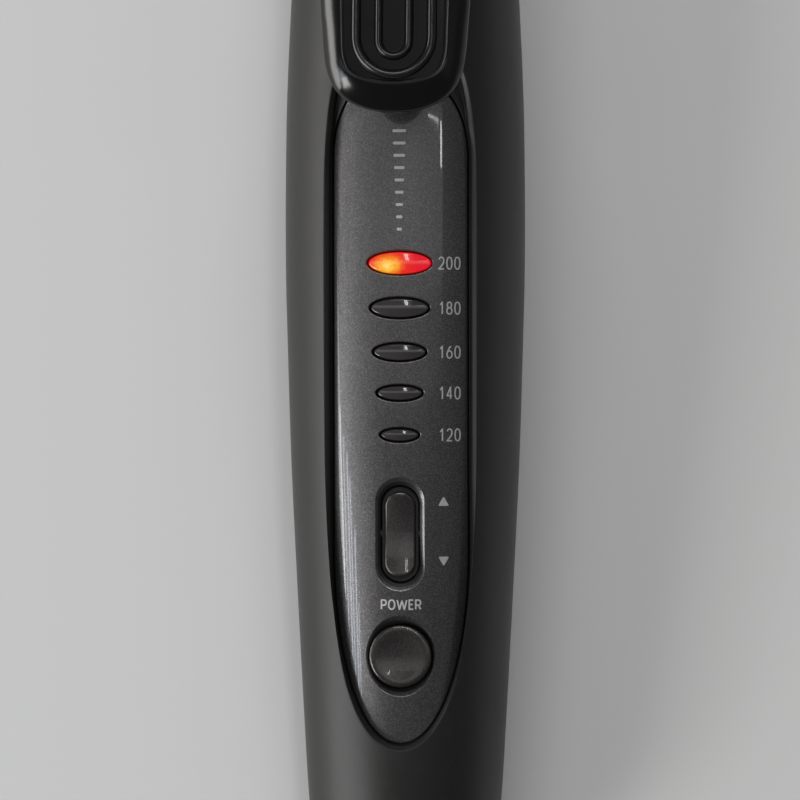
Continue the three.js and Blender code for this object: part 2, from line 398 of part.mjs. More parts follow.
// raised ribs on the top face: two nested racetrack loops
const tiltUp = -Math.atan2(35.7 - 30.0, 42.6);
const loop = (halfW, halfL, w) => {
  const g = prismZ(stadium(0, 0, halfW, halfL, 8), -0.5, 0.75, [stadium(0, 0, halfW - w, halfL - w, 8).reverse()]);
  return g.rotateX(tiltUp).translate(0, -27.8, 33.6);
};
lever = join(lever, loop(7.1, 16.5, 1.75), loop(3.25, 13.3, 1.5));
add("thumb_lever", lever, glossBlack);
add("lever_screw", join(rodZ(2.3, 27.4, 29.0, 0, LEVER_SCREW_Y, 14), rodZ(1.1, 28.6, 32.6, 0, LEVER_SCREW_Y, 12)), steel);

add("hinge_pin", turnedX([[0, -12.6], [1.9, -12.6], [2.3, -12.2], [2.3, -11.2], [1.25, -11.2], [1.25, 11.2], [2.3, 11.2], [2.3, 12.2], [1.9, 12.6], [0, 12.6]], HINGE.y, HINGE.z, 16), steel);
// torsion spring round the hinge pin, one leg on the collar and one under the web
{
  const pts = [[-3.4, HINGE.y + 6.4, HINGE.z - 3.1], [-3.4, HINGE.y + 3.2, HINGE.z - 2.9]], turns = 3.25, n = 30;
  for (let i = 0; i <= n; i++) {
    const t = i / n, a = -Math.PI / 2 - 2 * Math.PI * turns * t;
    pts.push([-3.3 + 6.6 * t, HINGE.y + 2.6 * Math.cos(a), HINGE.z + 2.6 * Math.sin(a)]);
  }
  pts.push([3.4, HINGE.y - 2.75, HINGE.z + 1.3], [3.4, HINGE.y - 3.3, HINGE.z + 3.1]);
  add("torsion_spring", bentRod(pts, 0.45, 6, 84), steel);
}

// ================= folding wire stand =================
const tilt = (TILT_DEG * Math.PI) / 180;
const footDepth = (AXIS_HEIGHT + STAND.footY * Math.sin(tilt)) / Math.cos(tilt); // from the axis down to the table at the feet
const barZ = -(footDepth - 2.7 / Math.cos(tilt)), W = STAND.halfW, py = STAND.pivotY, pz = STAND.pivotZ, fy = STAND.footY;
const legAt = (s, f) => [s * W, py + (fy - py) * f, pz + (barZ - pz) * f];
add("wire_stand", bentRod([
  [-17.3, py, pz], [-18.4, py, pz], [-19.7, py, pz], legAt(-1, 0.08), legAt(-1, 0.3), legAt(-1, 0.62), legAt(-1, 0.86), [-W + 2.2, fy, barZ], [-W + 6, fy, barZ], [-7, fy, barZ], [0, fy, barZ],
  [7, fy, barZ], [W - 6, fy, barZ], [W - 2.2, fy, barZ], legAt(1, 0.86), legAt(1, 0.62), legAt(1, 0.3), legAt(1, 0.08), [19.7, py, pz], [18.4, py, pz], [17.3, py, pz],
], STAND.wireR, 10, 56, 0.35), steel);
const foot = (s) => {
  const outline = [[-3.1, -2.7], [3.1, -2.7], [3.6, -1.9], [3.2, 1.6], [1.9, 2.6], [-1.9, 2.6], [-3.2, 1.6], [-3.6, -1.9]];
  const body = prismX(outline, -5, 5);
  const bored = cut(body, rodX(STAND.wireR + 0.3, -8, 8, 0, 0, 12));
  const g = bored.clone();
  g.rotateX(-tilt).translate(s * 11.2, fy, barZ);
  return g;
};
add("stand_foot_left", foot(-1), rubber);
add("stand_foot_right", foot(1), rubber);

iron.rotation.x = tilt;
iron.position.set(0, CENTRE_Y, AXIS_HEIGHT);
const part = new THREE.Group();
part.add(iron);
export default part;
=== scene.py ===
import json
import math

import bpy
import numpy as np
from mathutils import Matrix, Quaternion, Vector
from mathutils.geometry import delaunay_2d_cdt


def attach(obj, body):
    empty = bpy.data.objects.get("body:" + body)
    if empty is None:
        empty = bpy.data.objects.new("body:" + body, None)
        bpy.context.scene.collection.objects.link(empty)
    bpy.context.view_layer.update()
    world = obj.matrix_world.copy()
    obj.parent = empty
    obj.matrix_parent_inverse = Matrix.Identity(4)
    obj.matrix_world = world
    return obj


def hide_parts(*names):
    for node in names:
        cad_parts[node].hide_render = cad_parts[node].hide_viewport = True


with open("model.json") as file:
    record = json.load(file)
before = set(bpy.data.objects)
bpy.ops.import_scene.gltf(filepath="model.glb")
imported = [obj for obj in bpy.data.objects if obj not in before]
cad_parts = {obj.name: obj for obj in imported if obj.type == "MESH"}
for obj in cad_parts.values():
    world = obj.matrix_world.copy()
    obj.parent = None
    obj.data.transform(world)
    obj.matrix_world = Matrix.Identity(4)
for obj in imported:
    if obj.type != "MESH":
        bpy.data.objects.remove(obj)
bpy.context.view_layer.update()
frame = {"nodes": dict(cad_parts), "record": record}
NODES = frame["nodes"]
SCENE = bpy.context.scene

# ---------------------------------------------------------------- iron axes
# Shapes are written in the iron's own axes in millimetres (u right, v along the barrel to its tip, w out of the
# control panel, v = 0 at the handle's front face) and put into the row frame, in metres, by to_row().
TILT = math.radians(5.0)
CT, ST = math.cos(TILT), math.sin(TILT)
Y0, AXIS_H = 19.0, 30.6
WU = Vector((1, 0, 0))
WV = Vector((0, CT, ST))
WW = Vector((0, -ST, CT))


def to_row(p):
    p = np.asarray(p, float).reshape(-1, 3)
    u, v, w = p[:, 0], p[:, 1], p[:, 2]
    return np.stack([u, v * CT - w * ST + Y0, v * ST + w * CT + AXIS_H], 1) / 1000.0


def dir_row(p):
    p = np.asarray(p, float).reshape(-1, 3)
    u, v, w = p[:, 0], p[:, 1], p[:, 2]
    return np.stack([u, v * CT - w * ST, v * ST + w * CT], 1)


# ---------------------------------------------------------------- dimensions, as in the CAD
HANDLE_PROFILE = [
    (0, 18.2), (-10, 18.55), (-20, 19.0), (-30, 19.42), (-41, 19.93), (-50, 20.2), (-66, 20.35), (-75, 20.3),
    (-84, 20.08), (-106.5, 19.4), (-123.5, 18.6), (-137, 17.9), (-151, 17.15), (-163.3, 16.4), (-172, 15.5),
    (-177, 14.2), (-180, 12.0)]
RIM = [
    (-32, 0), (-32.8, 3.6), (-35, 7.2), (-38, 9.3), (-41.8, 10.75), (-45, 11.6), (-49.2, 12.25), (-56, 12.75), (-63.3, 12.9),
    (-80, 12.93), (-96.7, 12.9), (-110, 12.75), (-121.8, 12.2), (-130, 11.5), (-140, 10.1), (-146, 8.6), (-150.5, 6.6), (-153.6, 4.1), (-155.3, 0)]
PANEL_A, PANEL_TOPY, PANEL_TOPC, PANEL_BOTC, PANEL_BOTY = 11.22, -42.0, -56.67, -121.8, -154.1
SUNK = 1.9
LEDS = [("200", -73.83, 5.5, 2.08), ("180", -81.33, 5.1, 1.86), ("160", -88.67, 4.62, 1.66), ("140", -95.5, 4.02, 1.45), ("120", -102.5, 3.42, 1.27)]
ROCK_Y, ROCK_HW, ROCK_HL, ROCK_CW, ROCK_CL = -119.1, 3.3, 8.25, 2.6, 7.15
BTN_Y, BTN_R = -139.5, 5.2
BARREL_R, TAIL_HOLE_R = 16.0, 7.3
HINGE_Y, HINGE_Z = 7.0, 22.5
STAND_Y, STAND_Z, STAND_R, STAND_W, FOOT_Y = 6.5, -9.5, 1.5, 21.4, 14.5

KN = np.array(sorted(HANDLE_PROFILE), float)
KX, KR = KN[:, 0], KN[:, 1]
_d = np.diff(KR) / np.diff(KX)
KM = np.zeros(len(KX))
KM[0], KM[-1] = _d[0], _d[-1]
for _i in range(1, len(KX) - 1):
    a_, b_ = _d[_i - 1], _d[_i]
    KM[_i] = 0 if a_ * b_ <= 0 else 2 * a_ * b_ / (a_ + b_)


def hr(y):
    """The handle's radius at v = y."""
    y = np.clip(np.asarray(y, float), KX[0], KX[-1])
    i = np.clip(np.searchsorted(KX, y) - 1, 0, len(KX) - 2)
    h = KX[i + 1] - KX[i]
    t = (y - KX[i]) / h
    t2, t3 = t * t, t * t * t
    return (2 * t3 - 3 * t2 + 1) * KR[i] + (t3 - 2 * t2 + t) * h * KM[i] + (-2 * t3 + 3 * t2) * KR[i + 1] + (t3 - t2) * h * KM[i + 1]


def hr_slope(y):
    return (hr(np.asarray(y) + 0.05) - hr(np.asarray(y) - 0.05)) / 0.1


# ---------------------------------------------------------------- mesh helpers
class Soup:
    """Verts, faces and face material numbers gathered island by island, in the iron's axes."""

    def __init__(self):
        self.v, self.f, self.m, self.n, self.wear = [], [], [], [], []
        self.count = 0

    def add(self, verts, faces, m=0, normals=None, wear=0.0):
        verts = np.asarray(verts, float).reshape(-1, 3)
        base = self.count
        self.v.append(verts)
        self.n.append(np.zeros_like(verts) if normals is None else np.asarray(normals, float).reshape(-1, 3))
        self.wear.append(np.broadcast_to(np.asarray(wear, float), (len(verts),)).copy())
        self.f += [tuple(int(i) + base for i in f) for f in faces]
        self.m += list(m) if hasattr(m, "__len__") else [m] * len(faces)
        self.count += len(verts)
        return base

    def build(self, name, mats, body, replaces=(), angle=35.0):
        v = np.concatenate(self.v)
        me = bpy.data.meshes.new(name)
        me.from_pydata([tuple(p) for p in to_row(v)], [], self.f)
        me.update()
        for mt in mats:
            me.materials.append(mt)
        me.polygons.foreach_set("material_index", np.array(self.m, np.int32))
        me.polygons.foreach_set("use_smooth", np.ones(len(me.polygons), bool))
        me.set_sharp_from_angle(angle=math.radians(angle))
        wear = np.concatenate(self.wear)
        if wear.max() > 0:
            at = me.attributes.new("wear", "FLOAT", "POINT")
            at.data.foreach_set("value", wear.astype(np.float32))
        nn = np.concatenate(self.n)
        have = (np.abs(nn).sum(1) > 0)
        if have.any():
            corner = np.zeros(len(me.loops) * 3, np.float32)
            me.corner_normals.foreach_get("vector", corner)
            corner = corner.reshape(-1, 3)
            idx = np.zeros(len(me.loops), np.int32)
            me.loops.foreach_get("vertex_index", idx)
            row = dir_row(nn)
            pick = have[idx]
            corner[pick] = row[idx[pick]]
            me.normals_split_custom_set([tuple(c) for c in corner])
        ob = bpy.data.objects.new(name, me)
        SCENE.collection.objects.link(ob)
        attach(ob, body)
        if replaces:
            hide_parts(*replaces)
        return ob


def quads(rows, cols, closed=True, flip=False, base=0):
    """Faces joining rows of cols points; closed joins the last column to the first."""
    f = []
    n = cols if closed else cols - 1
    for r in range(rows - 1):
        for c in range(n):
            a, b = r * cols + c, r * cols + (c + 1) % cols
            q = (a + base, b + base, b + cols + base, a + cols + base)
            f.append(q[::-1] if flip else q)
    return f


def stack(soup, rings, m=0, flip=False, wear=None, closed=True):
    """A skin over rings of equal point counts. m can be one number or one per gap between rings."""
    rings = [np.asarray(r, float) for r in rings]
    n = len(rings[0])
    f = quads(len(rings), n, closed, flip)
    per = n if closed else n - 1
    if hasattr(m, "__len__"):
        mm = []
        for k in range(len(rings) - 1):
            mm += [m[k]] * per
    else:
        mm = m
    w = 0.0 if wear is None else np.repeat(np.asarray(wear, float), n)
    return soup.add(np.concatenate(rings), f, mm, wear=w)


def area2(p):
    p = np.asarray(p)
    x, y = p[:, 0], p[:, 1]
    return 0.5 * float(np.sum(x * np.roll(y, -1) - np.roll(x, -1) * y))


def ccw(p):
    p = np.asarray(p, float)
    return p if area2(p) > 0 else p[::-1].copy()


def normals2(p):
    """Outward normals of a closed, anticlockwise outline."""
    t = np.roll(p, -1, 0) - np.roll(p, 1, 0)
    n = np.stack([t[:, 1], -t[:, 0]], 1)
    return n / np.maximum(np.linalg.norm(n, axis=1, keepdims=True), 1e-9)


def grow(p, d):
    return p + normals2(p) * (d if np.isscalar(d) else np.asarray(d)[:, None])


def resample(p, n, closed=True):
    p = np.asarray(p, float)
    q = np.vstack([p, p[:1]]) if closed else p
    s = np.concatenate([[0], np.cumsum(np.linalg.norm(np.diff(q, axis=0), axis=1))])
    t = np.linspace(0, s[-1], n + 1)[:-1] if closed else np.linspace(0, s[-1], n)
    return np.stack([np.interp(t, s, q[:, k]) for k in range(q.shape[1])], 1)


def smooth_closed(p, per=14):
    """Closed centripetal Catmull-Rom through points."""
    p = np.asarray(p, float)
    n, out = len(p), []
    for i in range(n):
        p0, p1, p2, p3 = p[(i - 1) % n], p[i], p[(i + 1) % n], p[(i + 2) % n]
        t0 = 0.0
        t1 = t0 + math.sqrt(np.linalg.norm(p1 - p0)) + 1e-9
        t2 = t1 + math.sqrt(np.linalg.norm(p2 - p1)) + 1e-9
        t3 = t2 + math.sqrt(np.linalg.norm(p3 - p2)) + 1e-9
        for k in range(per):
            t = t1 + (t2 - t1) * k / per
            a1 = (t1 - t) / (t1 - t0) * p0 + (t - t0) / (t1 - t0) * p1
            a2 = (t2 - t) / (t2 - t1) * p1 + (t - t1) / (t2 - t1) * p2
            a3 = (t3 - t) / (t3 - t2) * p2 + (t - t2) / (t3 - t2) * p3
            b1 = (t2 - t) / (t2 - t0) * a1 + (t - t0) / (t2 - t0) * a2
            b2 = (t3 - t) / (t3 - t1) * a2 + (t - t1) / (t3 - t1) * a3
            out.append((t2 - t) / (t2 - t1) * b1 + (t - t1) / (t2 - t1) * b2)
    return np.array(out)


def rounded(points, radius, per=8):
    """A closed polygon with its corners rounded."""
    p = np.asarray(points, float)
    n, out = len(p), []
    for i in range(n):
        a, b, c = p[i - 1], p[i], p[(i + 1) % n]
        da, dc = a - b, c - b
        la, lc = np.linalg.norm(da), np.linalg.norm(dc)
        da, dc = da / la, dc / lc
        ang = math.acos(max(-1, min(1, float(da @ dc))))
        rad = radius[i] if hasattr(radius, "__len__") else radius
        cut = min(rad / max(math.tan(ang / 2), 1e-6), 0.45 * la, 0.45 * lc)
        if ang > math.radians(176) or cut < 1e-4:
            out.append(b)
            continue
        rad = cut * math.tan(ang / 2)
        bis = da + dc
        bis /= np.linalg.norm(bis)
        cen = b + bis * rad / math.sin(ang / 2)
        s, e = b + da * cut - cen, b + dc * cut - cen
        t0, t1 = math.atan2(s[1], s[0]), math.atan2(e[1], e[0])
        d = (t1 - t0 + math.pi) % (2 * math.pi) - math.pi
        for k in range(per + 1):
            t = t0 + d * k / per
            out.append(cen + rad * np.array([math.cos(t), math.sin(t)]))
    return np.array(out)


def inside(poly, pts):
    """Which of pts lie in a closed outline."""
    x, y = pts[:, 0][:, None], pts[:, 1][:, None]
    x0, y0 = poly[:, 0][None], poly[:, 1][None]
    x1, y1 = np.roll(poly[:, 0], -1)[None], np.roll(poly[:, 1], -1)[None]
    hit = ((y0 > y) != (y1 > y)) & (x < (x1 - x0) * (y - y0) / np.where(y1 == y0, 1e-12, y1 - y0) + x0)
    return hit.sum(1) % 2 == 1


def sheet_2d(outer, holes, step):
    """Triangles that fill outer but not holes, with an even scatter of points inside. Returns points and faces."""
    loops = [ccw(outer)] + [ccw(h) for h in holes]
    lo, hi = loops[0].min(0), loops[0].max(0)
    xs = np.arange(lo[0] - step, hi[0] + step, step)
    ys = np.arange(lo[1] - step, hi[1] + step, step * 0.866)
    gx, gy = np.meshgrid(xs, ys)
    gx = gx + (np.arange(len(ys)) % 2)[:, None] * step * 0.5
    g = np.stack([gx.ravel(), gy.ravel()], 1)
    keep = inside(loops[0], g)
    for h in loops[1:]:
        keep &= ~inside(h, g)
    g = g[keep]
    edge = np.concatenate(loops)
    far = np.ones(len(g), bool)
    for k in range(0, len(g), 4000):
        d = np.linalg.norm(g[k:k + 4000, None] - edge[None], axis=2).min(1)
        far[k:k + 4000] = d > step * 0.55
    g = g[far]
    pts, edges, base = [], [], 0
    for lp in loops:
        pts += [Vector(p) for p in lp]
        edges += [(base + i, base + (i + 1) % len(lp)) for i in range(len(lp))]
        base += len(lp)
    pts += [Vector(p) for p in g]
    v, _e, f, _ov, _oe, _of = delaunay_2d_cdt(pts, edges, [], 0, 1e-6)
    v = np.array([tuple(p) for p in v])
    f = np.array([t for t in f if len(t) == 3])
    cen = v[f].mean(1)
    ok = inside(loops[0], cen)
    for h in loops[1:]:
        ok &= ~inside(h, cen)
    f = f[ok]
    a, b, c = v[f[:, 0]], v[f[:, 1]], v[f[:, 2]]
    z = (b[:, 0] - a[:, 0]) * (c[:, 1] - a[:, 1]) - (b[:, 1] - a[:, 1]) * (c[:, 0] - a[:, 0])
    f[z < 0] = f[z < 0][:, ::-1]
    used = np.unique(f)
    new = -np.ones(len(v), int)
    new[used] = np.arange(len(used))
    return v[used], new[f]


def stadium(cx, cy, hw, hl, n=24):
    t = np.linspace(0, math.pi, n + 1)
    top = np.stack([cx + hw * np.cos(t), cy + hl - hw + hw * np.sin(t)], 1)
    bot = np.stack([cx - hw * np.cos(t), cy - hl + hw - hw * np.sin(t)], 1)
    side_l = np.stack([np.full(12, cx - hw), np.linspace(cy + hl - hw, cy - hl + hw, 14)[1:-1]], 1)
    side_r = np.stack([np.full(12, cx + hw), np.linspace(cy - hl + hw, cy + hl - hw, 14)[1:-1]], 1)
    return np.concatenate([top, side_l, bot, side_r])


def ellipse(cx, cy, a, b, n=64):
    t = np.linspace(0, 2 * math.pi, n, endpoint=False)
    return np.stack([cx + a * np.cos(t), cy + b * np.sin(t)], 1)


def panel_outline(d, n=90):
    """The panel's plan, a little fuller than two half ellipses, grown by d."""
    t = np.linspace(0, math.pi, n + 1)
    c, q = np.cos(t), np.abs(np.sin(t))

    def full(x, k):
        return np.sign(x) * np.abs(x) ** (2 / k)

    top = np.stack([(PANEL_A + d) * full(c, 2.22), PANEL_TOPC + (PANEL_TOPY - PANEL_TOPC + d) * full(q, 2.22)], 1)
    bot = np.stack([-(PANEL_A + d) * full(c, 2.08), PANEL_BOTC - (PANEL_BOTC - PANEL_BOTY + d) * full(q, 2.08)], 1)
    ys = np.linspace(PANEL_TOPC, PANEL_BOTC, 92)[1:-1]
    left = np.stack([np.full(90, -(PANEL_A + d)), ys], 1)
    right = np.stack([np.full(90, PANEL_A + d), ys[::-1]], 1)
    return np.concatenate([top, left, bot, right])


def lathe(soup, pts, seg=128, m=0, axis="v", at=(0, 0, 0), a0=0.0, a1=2 * math.pi, wear=None):
    """Turns (radius, height) points about v, w or u; the skin faces left of the direction of travel seen with radius to the right."""
    pts = np.asarray(pts, float)
    full = abs(a1 - a0 - 2 * math.pi) < 1e-6
    t = np.linspace(a0, a1, seg, endpoint=not full) if not full else np.linspace(0, 2 * math.pi, seg, endpoint=False)
    rings = []
    for r, h in pts:
        c, s = r * np.cos(t), r * np.sin(t)
        z = np.full(len(t), h)
        if axis == "v":
            ring = np.stack([s, z, c], 1)
        elif axis == "w":
            ring = np.stack([c, s, z], 1)
        else:
            ring = np.stack([z, c, s], 1)
        rings.append(ring + np.asarray(at, float))
    return stack(soup, rings, m, closed=full, wear=wear)


def arc_pts(cx, cy, r, d0, d1, n=6):
    t = np.radians(np.linspace(d0, d1, n + 1))
    return [(cx + r * math.cos(a), cy + r * math.sin(a)) for a in t]


def plate(soup, outline, k0, k1, axis="u", bevel=0.25, m=0, holes=(), step=1.6, steps=4):
    """A flat plate: outline in the plane across axis, from k0 to k1, with rounded edges. Outline is (v, w) for u, (u, w) for v, (u, v) for w."""
    outline = ccw(outline)
    holes = [ccw(h) for h in holes]

    def place(p2, k):
        p2 = np.asarray(p2)
        k = np.full(len(p2), k, float)
        if axis == "u":
            return np.stack([k, p2[:, 0], p2[:, 1]], 1)
        if axis == "v":
            return np.stack([p2[:, 0], k, p2[:, 1]], 1)
        return np.stack([p2[:, 0], p2[:, 1], k], 1)

    turn = axis == "v"
    ang = np.radians(np.linspace(0, 90, steps + 1))
    for loop, sign in [(outline, 1)] + [(h, -1) for h in holes]:
        rings = [place(grow(loop, -sign * bevel * (1 - math.sin(a))), k1 - bevel * (1 - math.cos(a))) for a in ang]
        rings += [place(grow(loop, -sign * bevel * (1 - math.sin(a))), k0 + bevel * (1 - math.cos(a))) for a in ang[::-1]]
        stack(soup, rings, m, flip=(sign > 0) != turn, wear=[0.6] * (steps + 1) + [0.6] * (steps + 1))
    p, f = sheet_2d(grow(outline, -bevel), [grow(h, bevel) for h in holes], step)
    soup.add(place(p, k1), f[:, ::-1] if turn else f, m)
    soup.add(place(p, k0), f if turn else f[:, ::-1], m)


def tube(soup, path, r, sides=16, m=0, cap=True):
    """A round rod along a path of points; r can be one number or one per point."""
    path = np.asarray(path, float)
    n = len(path)
    r = np.full(n, r, float) if np.isscalar(r) else np.asarray(r, float)
    tan = np.gradient(path, axis=0)
    tan /= np.linalg.norm(tan, axis=1, keepdims=True)
    up = np.array([0.0, 0, 1]) if abs(tan[0][2]) < 0.9 else np.array([1.0, 0, 0])
    x = np.cross(up, tan[0])
    x /= np.linalg.norm(x)
    rings = []
    a = np.linspace(0, 2 * math.pi, sides, endpoint=False)
    for i in range(n):
        x = x - tan[i] * (x @ tan[i])
        x /= np.linalg.norm(x)
        y = np.cross(tan[i], x)
        rings.append(path[i] + r[i] * (np.cos(a)[:, None] * x + np.sin(a)[:, None] * y))
    if cap:
        rings = [np.repeat(path[:1], sides, 0) + (rings[0] - path[0]) * k for k in (0.02, 0.85)] + rings + [np.repeat(path[-1:], sides, 0) + (rings[-1] - path[-1]) * k for k in (0.85, 0.02)]
    stack(soup, rings, m)


def catmull(points, n, closed=False):
    p = np.asarray(points, float)
    p = np.vstack([2 * p[0] - p[1], p, 2 * p[-1] - p[-2]])
    out = []
    segs = len(p) - 3
    for i in range(segs):
        p0, p1, p2, p3 = p[i:i + 4]
        m = max(2, n // segs)
        for k in range(m):
            t = k / m
            out.append(0.5 * ((2 * p1) + (-p0 + p2) * t + (2 * p0 - 5 * p1 + 4 * p2 - p3) * t * t + (-p0 + 3 * p1 - 3 * p2 + p3) * t ** 3))
    out.append(p[-2])
    return resample(np.array(out), n, closed=False)


# ---------------------------------------------------------------- materials
def principled(name, base, rough, metal=0.0, coat=0.0, coat_rough=0.03, spec=0.5, ior=1.5, sheen=0.0):
    mt = bpy.data.materials.new(name)
    mt.use_nodes = True
    nt = mt.node_tree
    b = nt.nodes["Principled BSDF"]
    b.inputs["Base Color"].default_value = (*base, 1)
    b.inputs["Roughness"].default_value = rough
    b.inputs["Metallic"].default_value = metal
    b.inputs["IOR"].default_value = ior
    b.inputs["Specular IOR Level"].default_value = spec
    b.inputs["Coat Weight"].default_value = coat
    b.inputs["Coat Roughness"].default_value = coat_rough
    if sheen:
        b.inputs["Sheen Weight"].default_value = sheen
        b.inputs["Sheen Roughness"].default_value = 0.5
    return mt, nt, b


def node(nt, kind, **inputs):
    n = nt.nodes.new(kind)
    for k, val in inputs.items():
        key = k.replace("_", " ")
        if key in n.inputs:
            n.inputs[key].default_value = val
    return n


def coords(nt, scale=(1, 1, 1)):
    tc = nt.nodes.new("ShaderNodeTexCoord")
    mp = nt.nodes.new("ShaderNodeMapping")
    mp.inputs["Scale"].default_value = scale
    nt.links.new(tc.outputs["Object"], mp.inputs["Vector"])
    return mp.outputs["Vector"]


def noise(nt, vec, scale, detail=2.0, rough=0.5):
    n = nt.nodes.new("ShaderNodeTexNoise")
    n.inputs["Scale"].default_value = scale
    n.inputs["Detail"].default_value = detail
    n.inputs["Roughness"].default_value = rough
    nt.links.new(vec, n.inputs["Vector"])
    return n.outputs["Fac"]


def voronoi(nt, vec, scale, feature="F1"):
    n = nt.nodes.new("ShaderNodeTexVoronoi")
    n.feature = feature
    n.inputs["Scale"].default_value = scale
    nt.links.new(vec, n.inputs["Vector"])
    return n


def remap(nt, fac, lo, hi, a=0.0, b=1.0):
    n = nt.nodes.new("ShaderNodeMapRange")
    n.inputs["From Min"].default_value = a
    n.inputs["From Max"].default_value = b
    n.inputs["To Min"].default_value = lo
    n.inputs["To Max"].default_value = hi
    nt.links.new(fac, n.inputs["Value"])
    return n.outputs["Result"]


def ramp(nt, fac, stops):
    n = nt.nodes.new("ShaderNodeValToRGB")
    el = n.color_ramp.elements
    while len(el) < len(stops):
        el.new(0.5)
    for e, (p, c) in zip(el, stops):
        e.position = p
        e.color = (*c, 1)
    nt.links.new(fac, n.inputs["Fac"])
    return n.outputs["Color"]


def mix(nt, fac, a, b, blend="MIX"):
    n = nt.nodes.new("ShaderNodeMix")
    n.data_type = "RGBA"
    n.blend_type = blend
    for sock, val in ((n.inputs[6], a), (n.inputs[7], b)):
        if isinstance(val, tuple):
            sock.default_value = (*val, 1)
        else:
            nt.links.new(val, sock)
    if isinstance(fac, float):
        n.inputs[0].default_value = fac
    else:
        nt.links.new(fac, n.inputs[0])
    return n.outputs[2]


def mathn(nt, op, a, b=None):
    n = nt.nodes.new("ShaderNodeMath")
    n.operation = op
    for i, val in enumerate((a, b)):
        if val is None:
            continue
        if isinstance(val, (int, float)):
            n.inputs[i].default_value = val
        else:
            nt.links.new(val, n.inputs[i])
    return n.outputs[0]


def bump(nt, b, heights, dist=0.0001, strength=1.0):
    """Chains bumps (height output, strength, distance in metres) into the shader's normal."""
    prev = None
    for h, s, d in heights:
        n = nt.nodes.new("ShaderNodeBump")
        n.inputs["Strength"].default_value = s
        n.inputs["Distance"].default_value = d
        nt.links.new(h, n.inputs["Height"])
        if prev is not None:
            nt.links.new(prev, n.inputs["Normal"])
        prev = n.outputs["Normal"]
    nt.links.new(prev, b.inputs["Normal"])
    return prev


def wear_fac(nt):
    n = nt.nodes.new("ShaderNodeAttribute")
    n.attribute_name = "wear"
    return n.outputs["Fac"]


def mat_soft_touch():
    mt, nt, b = principled("soft_touch_black", (0.012, 0.0112, 0.0105), 0.45, spec=0.45)
    vec = coords(nt)
    big, fine, grit = noise(nt, vec, 60, 3), noise(nt, vec, 2600, 2, 0.6), noise(nt, vec, 700, 3, 0.6)
    col = mix(nt, big, (0.0105, 0.0098, 0.0092), (0.0145, 0.0136, 0.0128))
    col = mix(nt, remap(nt, grit, 0, 0.3, 0.5, 0.8), col, (0.028, 0.026, 0.0245))
    nt.links.new(col, b.inputs["Base Color"])
    r = mathn(nt, "ADD", remap(nt, big, -0.035, 0.035), remap(nt, grit, 0.42, 0.52))
    nt.links.new(r, b.inputs["Roughness"])
    bump(nt, b, [(fine, 0.35, 0.00003), (grit, 0.15, 0.00006)])
    return mt


def mat_flake(name, base, lighter, rough, metal, coat, coat_rough, flake=0.5, scale=2300):
    mt, nt, b = principled(name, base, rough, metal, coat, coat_rough)
    vec = coords(nt)
    vo = voronoi(nt, vec, scale)
    cell = vo.outputs["Color"]
    sep = nt.nodes.new("ShaderNodeSeparateColor")
    nt.links.new(cell, sep.inputs["Color"])
    spark = remap(nt, sep.outputs[0], 0, 1, 0.45, 1.0)
    cloud = noise(nt, vec, 45, 3)
    col = mix(nt, remap(nt, cloud, 0.2, 0.8), base, lighter)
    col = mix(nt, mathn(nt, "MULTIPLY", spark, flake), col, tuple(min(1, c * 3.2) for c in lighter))
    nt.links.new(col, b.inputs["Base Color"])
    r = mathn(nt, "ADD", remap(nt, sep.outputs[1], rough - 0.06, rough + 0.08), remap(nt, cloud, -0.02, 0.03))
    nt.links.new(r, b.inputs["Roughness"])
    bump(nt, b, [(sep.outputs[2], 0.3, 0.00002), (noise(nt, vec, 420, 2), 0.05, 0.00002)])
    return mt


def mat_gloss_black():
    mt, nt, b = principled("thumb_gloss_black", (0.004, 0.0036, 0.004), 0.2, coat=0.0)
    vec = coords(nt)
    big, dust = noise(nt, vec, 90, 3), noise(nt, vec, 1500, 2)
    scr = noise(nt, coords(nt, (1.0, 0.06, 1.0)), 2400, 2, 0.7)
    col = mix(nt, remap(nt, dust, 0, 0.3, 0.62, 0.85), (0.003, 0.0026, 0.003), (0.008, 0.0072, 0.008))
    w = wear_fac(nt)
    col = mix(nt, mathn(nt, "MULTIPLY", w, 0.4), col, (0.04, 0.039, 0.04))
    nt.links.new(col, b.inputs["Base Color"])
    r = mathn(nt, "ADD", remap(nt, big, 0.15, 0.21), mathn(nt, "MULTIPLY", w, 0.08))
    nt.links.new(r, b.inputs["Roughness"])
    bump(nt, b, [(scr, 0.03, 0.00001), (big, 0.03, 0.0001)])
    return mt


def mat_resin(name="heat_resin", base=(0.024, 0.024, 0.025)):
    mt, nt, b = principled(name, base, 0.5)
    vec = coords(nt)
    pit, big = voronoi(nt, vec, 1500).outputs["Distance"], noise(nt, vec, 120, 3)
    nt.links.new(mix(nt, big, base, tuple(c * 1.6 for c in base)), b.inputs["Base Color"])
    nt.links.new(remap(nt, big, 0.42, 0.58), b.inputs["Roughness"])
    bump(nt, b, [(pit, 0.3, 0.00004), (noise(nt, vec, 3000, 2), 0.2, 0.00002)])
    return mt


def mat_barrel(name="barrel_coat"):
    mt, nt, b = principled(name, (0.085, 0.085, 0.09), 0.28, 0.75, coat=0.25, coat_rough=0.15)
    vec = coords(nt)
    rings = noise(nt, coords(nt, (1.0, 60.0, 1.0)), 40, 2)
    spk, big = voronoi(nt, vec, 2600).outputs["Distance"], noise(nt, vec, 35, 4)
    nt.links.new(mix(nt, big, (0.075, 0.075, 0.08), (0.11, 0.108, 0.112)), b.inputs["Base Color"])
    nt.links.new(mathn(nt, "ADD", remap(nt, big, 0.22, 0.34), remap(nt, rings, -0.02, 0.03)), b.inputs["Roughness"])
    bump(nt, b, [(rings, 0.04, 0.00003), (spk, 0.06, 0.00002)])
    return mt


